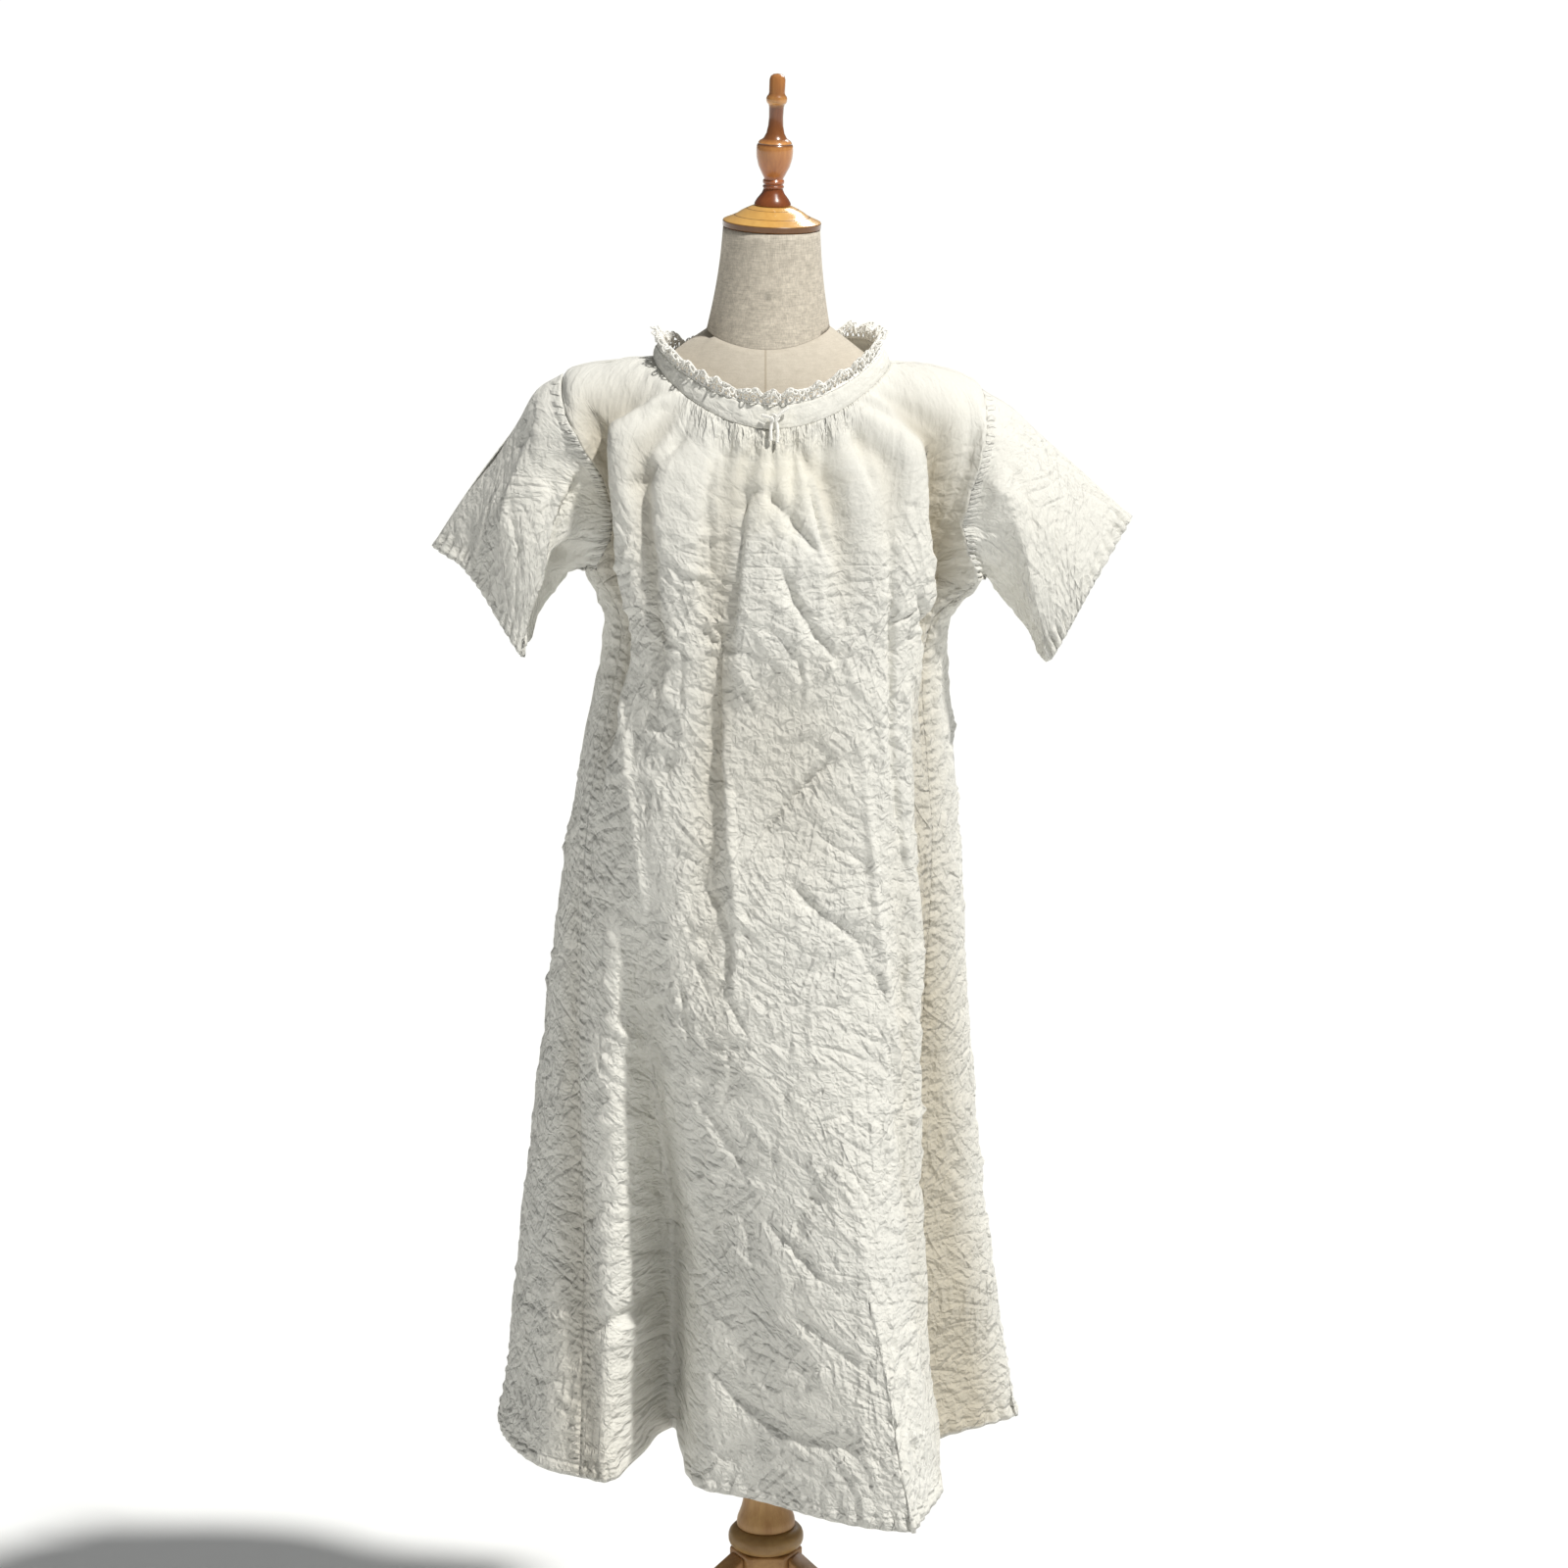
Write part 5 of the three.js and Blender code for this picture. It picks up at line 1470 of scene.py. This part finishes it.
class DRESS_OT_form(Builder):
    """Builds the padded torso and the neck"""

    bl_idname = "dress.form"
    bl_label = "Torso and neck"

    def build(self, look):
        finished(refined_copy("form_torso", 2, crease=35), "padded_torso", torso_paint(look),
                 "torso_linen", "form_torso")
        finished(refined_copy("form_neck", 2, crease=35), "padded_neck", neck_paint(look),
                 "neck_linen", "form_neck")


class DRESS_OT_top(Builder):
    """Turns the neck cap and the finial"""

    bl_idname = "dress.top"
    bl_label = "Cap and finial"

    def build(self, look):
        finished(turned(CAP_PROFILE, on_neck(GAP), LEAN), "turned_cap", cap_paint(), "cap_wood",
                 "neck_cap")
        foot = on_neck(CAP_HEIGHT + 2 * GAP)
        finished(turned(FINIAL_PROFILE, foot, LEAN, 72), "turned_finial", finial_paint(),
                 "finial_wood", "finial")


class DRESS_OT_stand(Builder):
    """Turns the pole and its ring and cuts the tripod"""

    bl_idname = "dress.stand"
    bl_label = "Pole and tripod"

    def build(self, look):
        pale, _ = wood_paint("pine", (0.55, 0.33, 0.13), (0.36, 0.18, 0.06), (60, 60, 3), 0.9)
        olive, _ = wood_paint("olive pine", (0.38, 0.23, 0.08), (0.24, 0.13, 0.04), (25, 25, 60), 0.9)
        leg, _ = wood_paint("tan pine", (0.54, 0.31, 0.12), (0.32, 0.15, 0.05), (30, 30, 30), 0.9)
        finished(turned(POLE_PROFILE, (STAND_X, 0, 0)), "turned_pole", pale.material, "pole_wood",
                 "pole")
        finished(turned(RING_PROFILE, (STAND_X, 0, 254)), "turned_ring", olive.material,
                 "ring_wood", "pole_ring")
        for node in ("tripod_hub", "leg_back", "leg_right", "leg_left"):
            finished(refined_copy(node, 0, bevel=2.2), "wooden_" + node, leg.material, "stand_wood",
                     node)


FLOOR_SIZE = 80
SKY_STRENGTH, SUN_STRENGTH, SUN_SPREAD, SUN_HEADING = 0.14, 3.55, 3.5, (-0.37, 0.29, -0.78)
RIM_STRENGTH, RIM_SPREAD, RIM_HEADING = 0.8, 20, (-0.35, -0.8, -0.55)
CAMERA_PLACE = (14.72, -4310.97, 2128.16)
CAMERA_PITCH, CAMERA_LENS, CAMERA_SENSOR = 14.5, 108.9, 36


def add_sun(name, strength, spread, heading):
    bpy.ops.object.light_add(type="SUN")
    sun = bpy.context.object
    sun.name = name
    sun.data.energy = strength
    sun.data.angle = math.radians(spread)
    sun.rotation_euler = Vector(heading).to_track_quat("-Z", "Y").to_euler()
    return sun


class DRESS_OT_stage(Builder):
    """Sets the floor, the lights and the camera"""

    bl_idname = "dress.stage"
    bl_label = "Floor, light and camera"

    def build(self, look):
        deselect()
        bpy.ops.mesh.primitive_plane_add(size=FLOOR_SIZE, location=(0, 0, 0))
        floor = bpy.context.object
        floor.name = "floor"
        paint = Paint("pale floor")
        paint.set(Base_Color=(0.84, 0.85, 0.85, 1), Roughness=0.9, Specular_IOR_Level=0.0)
        floor.data.materials.append(paint.material)
        world = bpy.data.worlds.new("soft sky")
        world.use_nodes = True
        world.node_tree.nodes["Background"].inputs[0].default_value = (0.96, 0.97, 0.95, 1)
        world.node_tree.nodes["Background"].inputs[1].default_value = SKY_STRENGTH
        bpy.context.scene.world = world
        sun = add_sun("high soft sun", SUN_STRENGTH, SUN_SPREAD, SUN_HEADING)
        sun.data.color = (1.0, 0.985, 0.95)
        add_sun("weak light from behind", RIM_STRENGTH, RIM_SPREAD, RIM_HEADING)
        bpy.context.scene.view_settings.view_transform = "Standard"
        add_camera()


def add_camera():
    bpy.ops.object.camera_add()
    camera = bpy.context.object
    camera.name = "viewer"
    camera.location = Vector((np.array(CAMERA_PLACE) + ORIGIN) * MM)
    camera.rotation_euler = (math.radians(90 - CAMERA_PITCH), 0, 0)
    camera.data.sensor_width = CAMERA_SENSOR
    camera.data.lens = CAMERA_LENS
    bpy.context.scene.camera = camera


OPERATORS = (DRESS_OT_stage, DRESS_OT_drawstring, DRESS_OT_front, DRESS_OT_back, DRESS_OT_gores,
             DRESS_OT_sleeves, DRESS_OT_neckline, DRESS_OT_form, DRESS_OT_top, DRESS_OT_stand)


class DRESS_PT_panel(bpy.types.Panel):
    """Lists the sizes and the pieces in the sidebar"""

    bl_idname = "DRESS_PT_panel"
    bl_label = "Lace dress"
    bl_space_type = "VIEW_3D"
    bl_region_type = "UI"
    bl_category = "Dress"

    def draw(self, context):
        look = context.scene.dress_look
        for name in DressLook.__annotations__:
            self.layout.prop(look, name)
        for operator in OPERATORS:
            self.layout.operator(operator.bl_idname)


CLASSES = (DressLook, *OPERATORS, DRESS_PT_panel)


def register():
    for cls in CLASSES:
        bpy.utils.register_class(cls)
    bpy.types.Scene.dress_look = PointerProperty(type=DressLook)


def unregister():
    del bpy.types.Scene.dress_look
    for cls in reversed(CLASSES):
        bpy.utils.unregister_class(cls)


def main():
    register()
    bpy.ops.dress.stage()
    bpy.ops.dress.drawstring()
    bpy.ops.dress.front()
    bpy.ops.dress.back()
    bpy.ops.dress.gores()
    bpy.ops.dress.sleeves()
    bpy.ops.dress.neckline()
    bpy.ops.dress.form()
    bpy.ops.dress.top()
    bpy.ops.dress.stand()


if __name__ == "__main__":
    main()
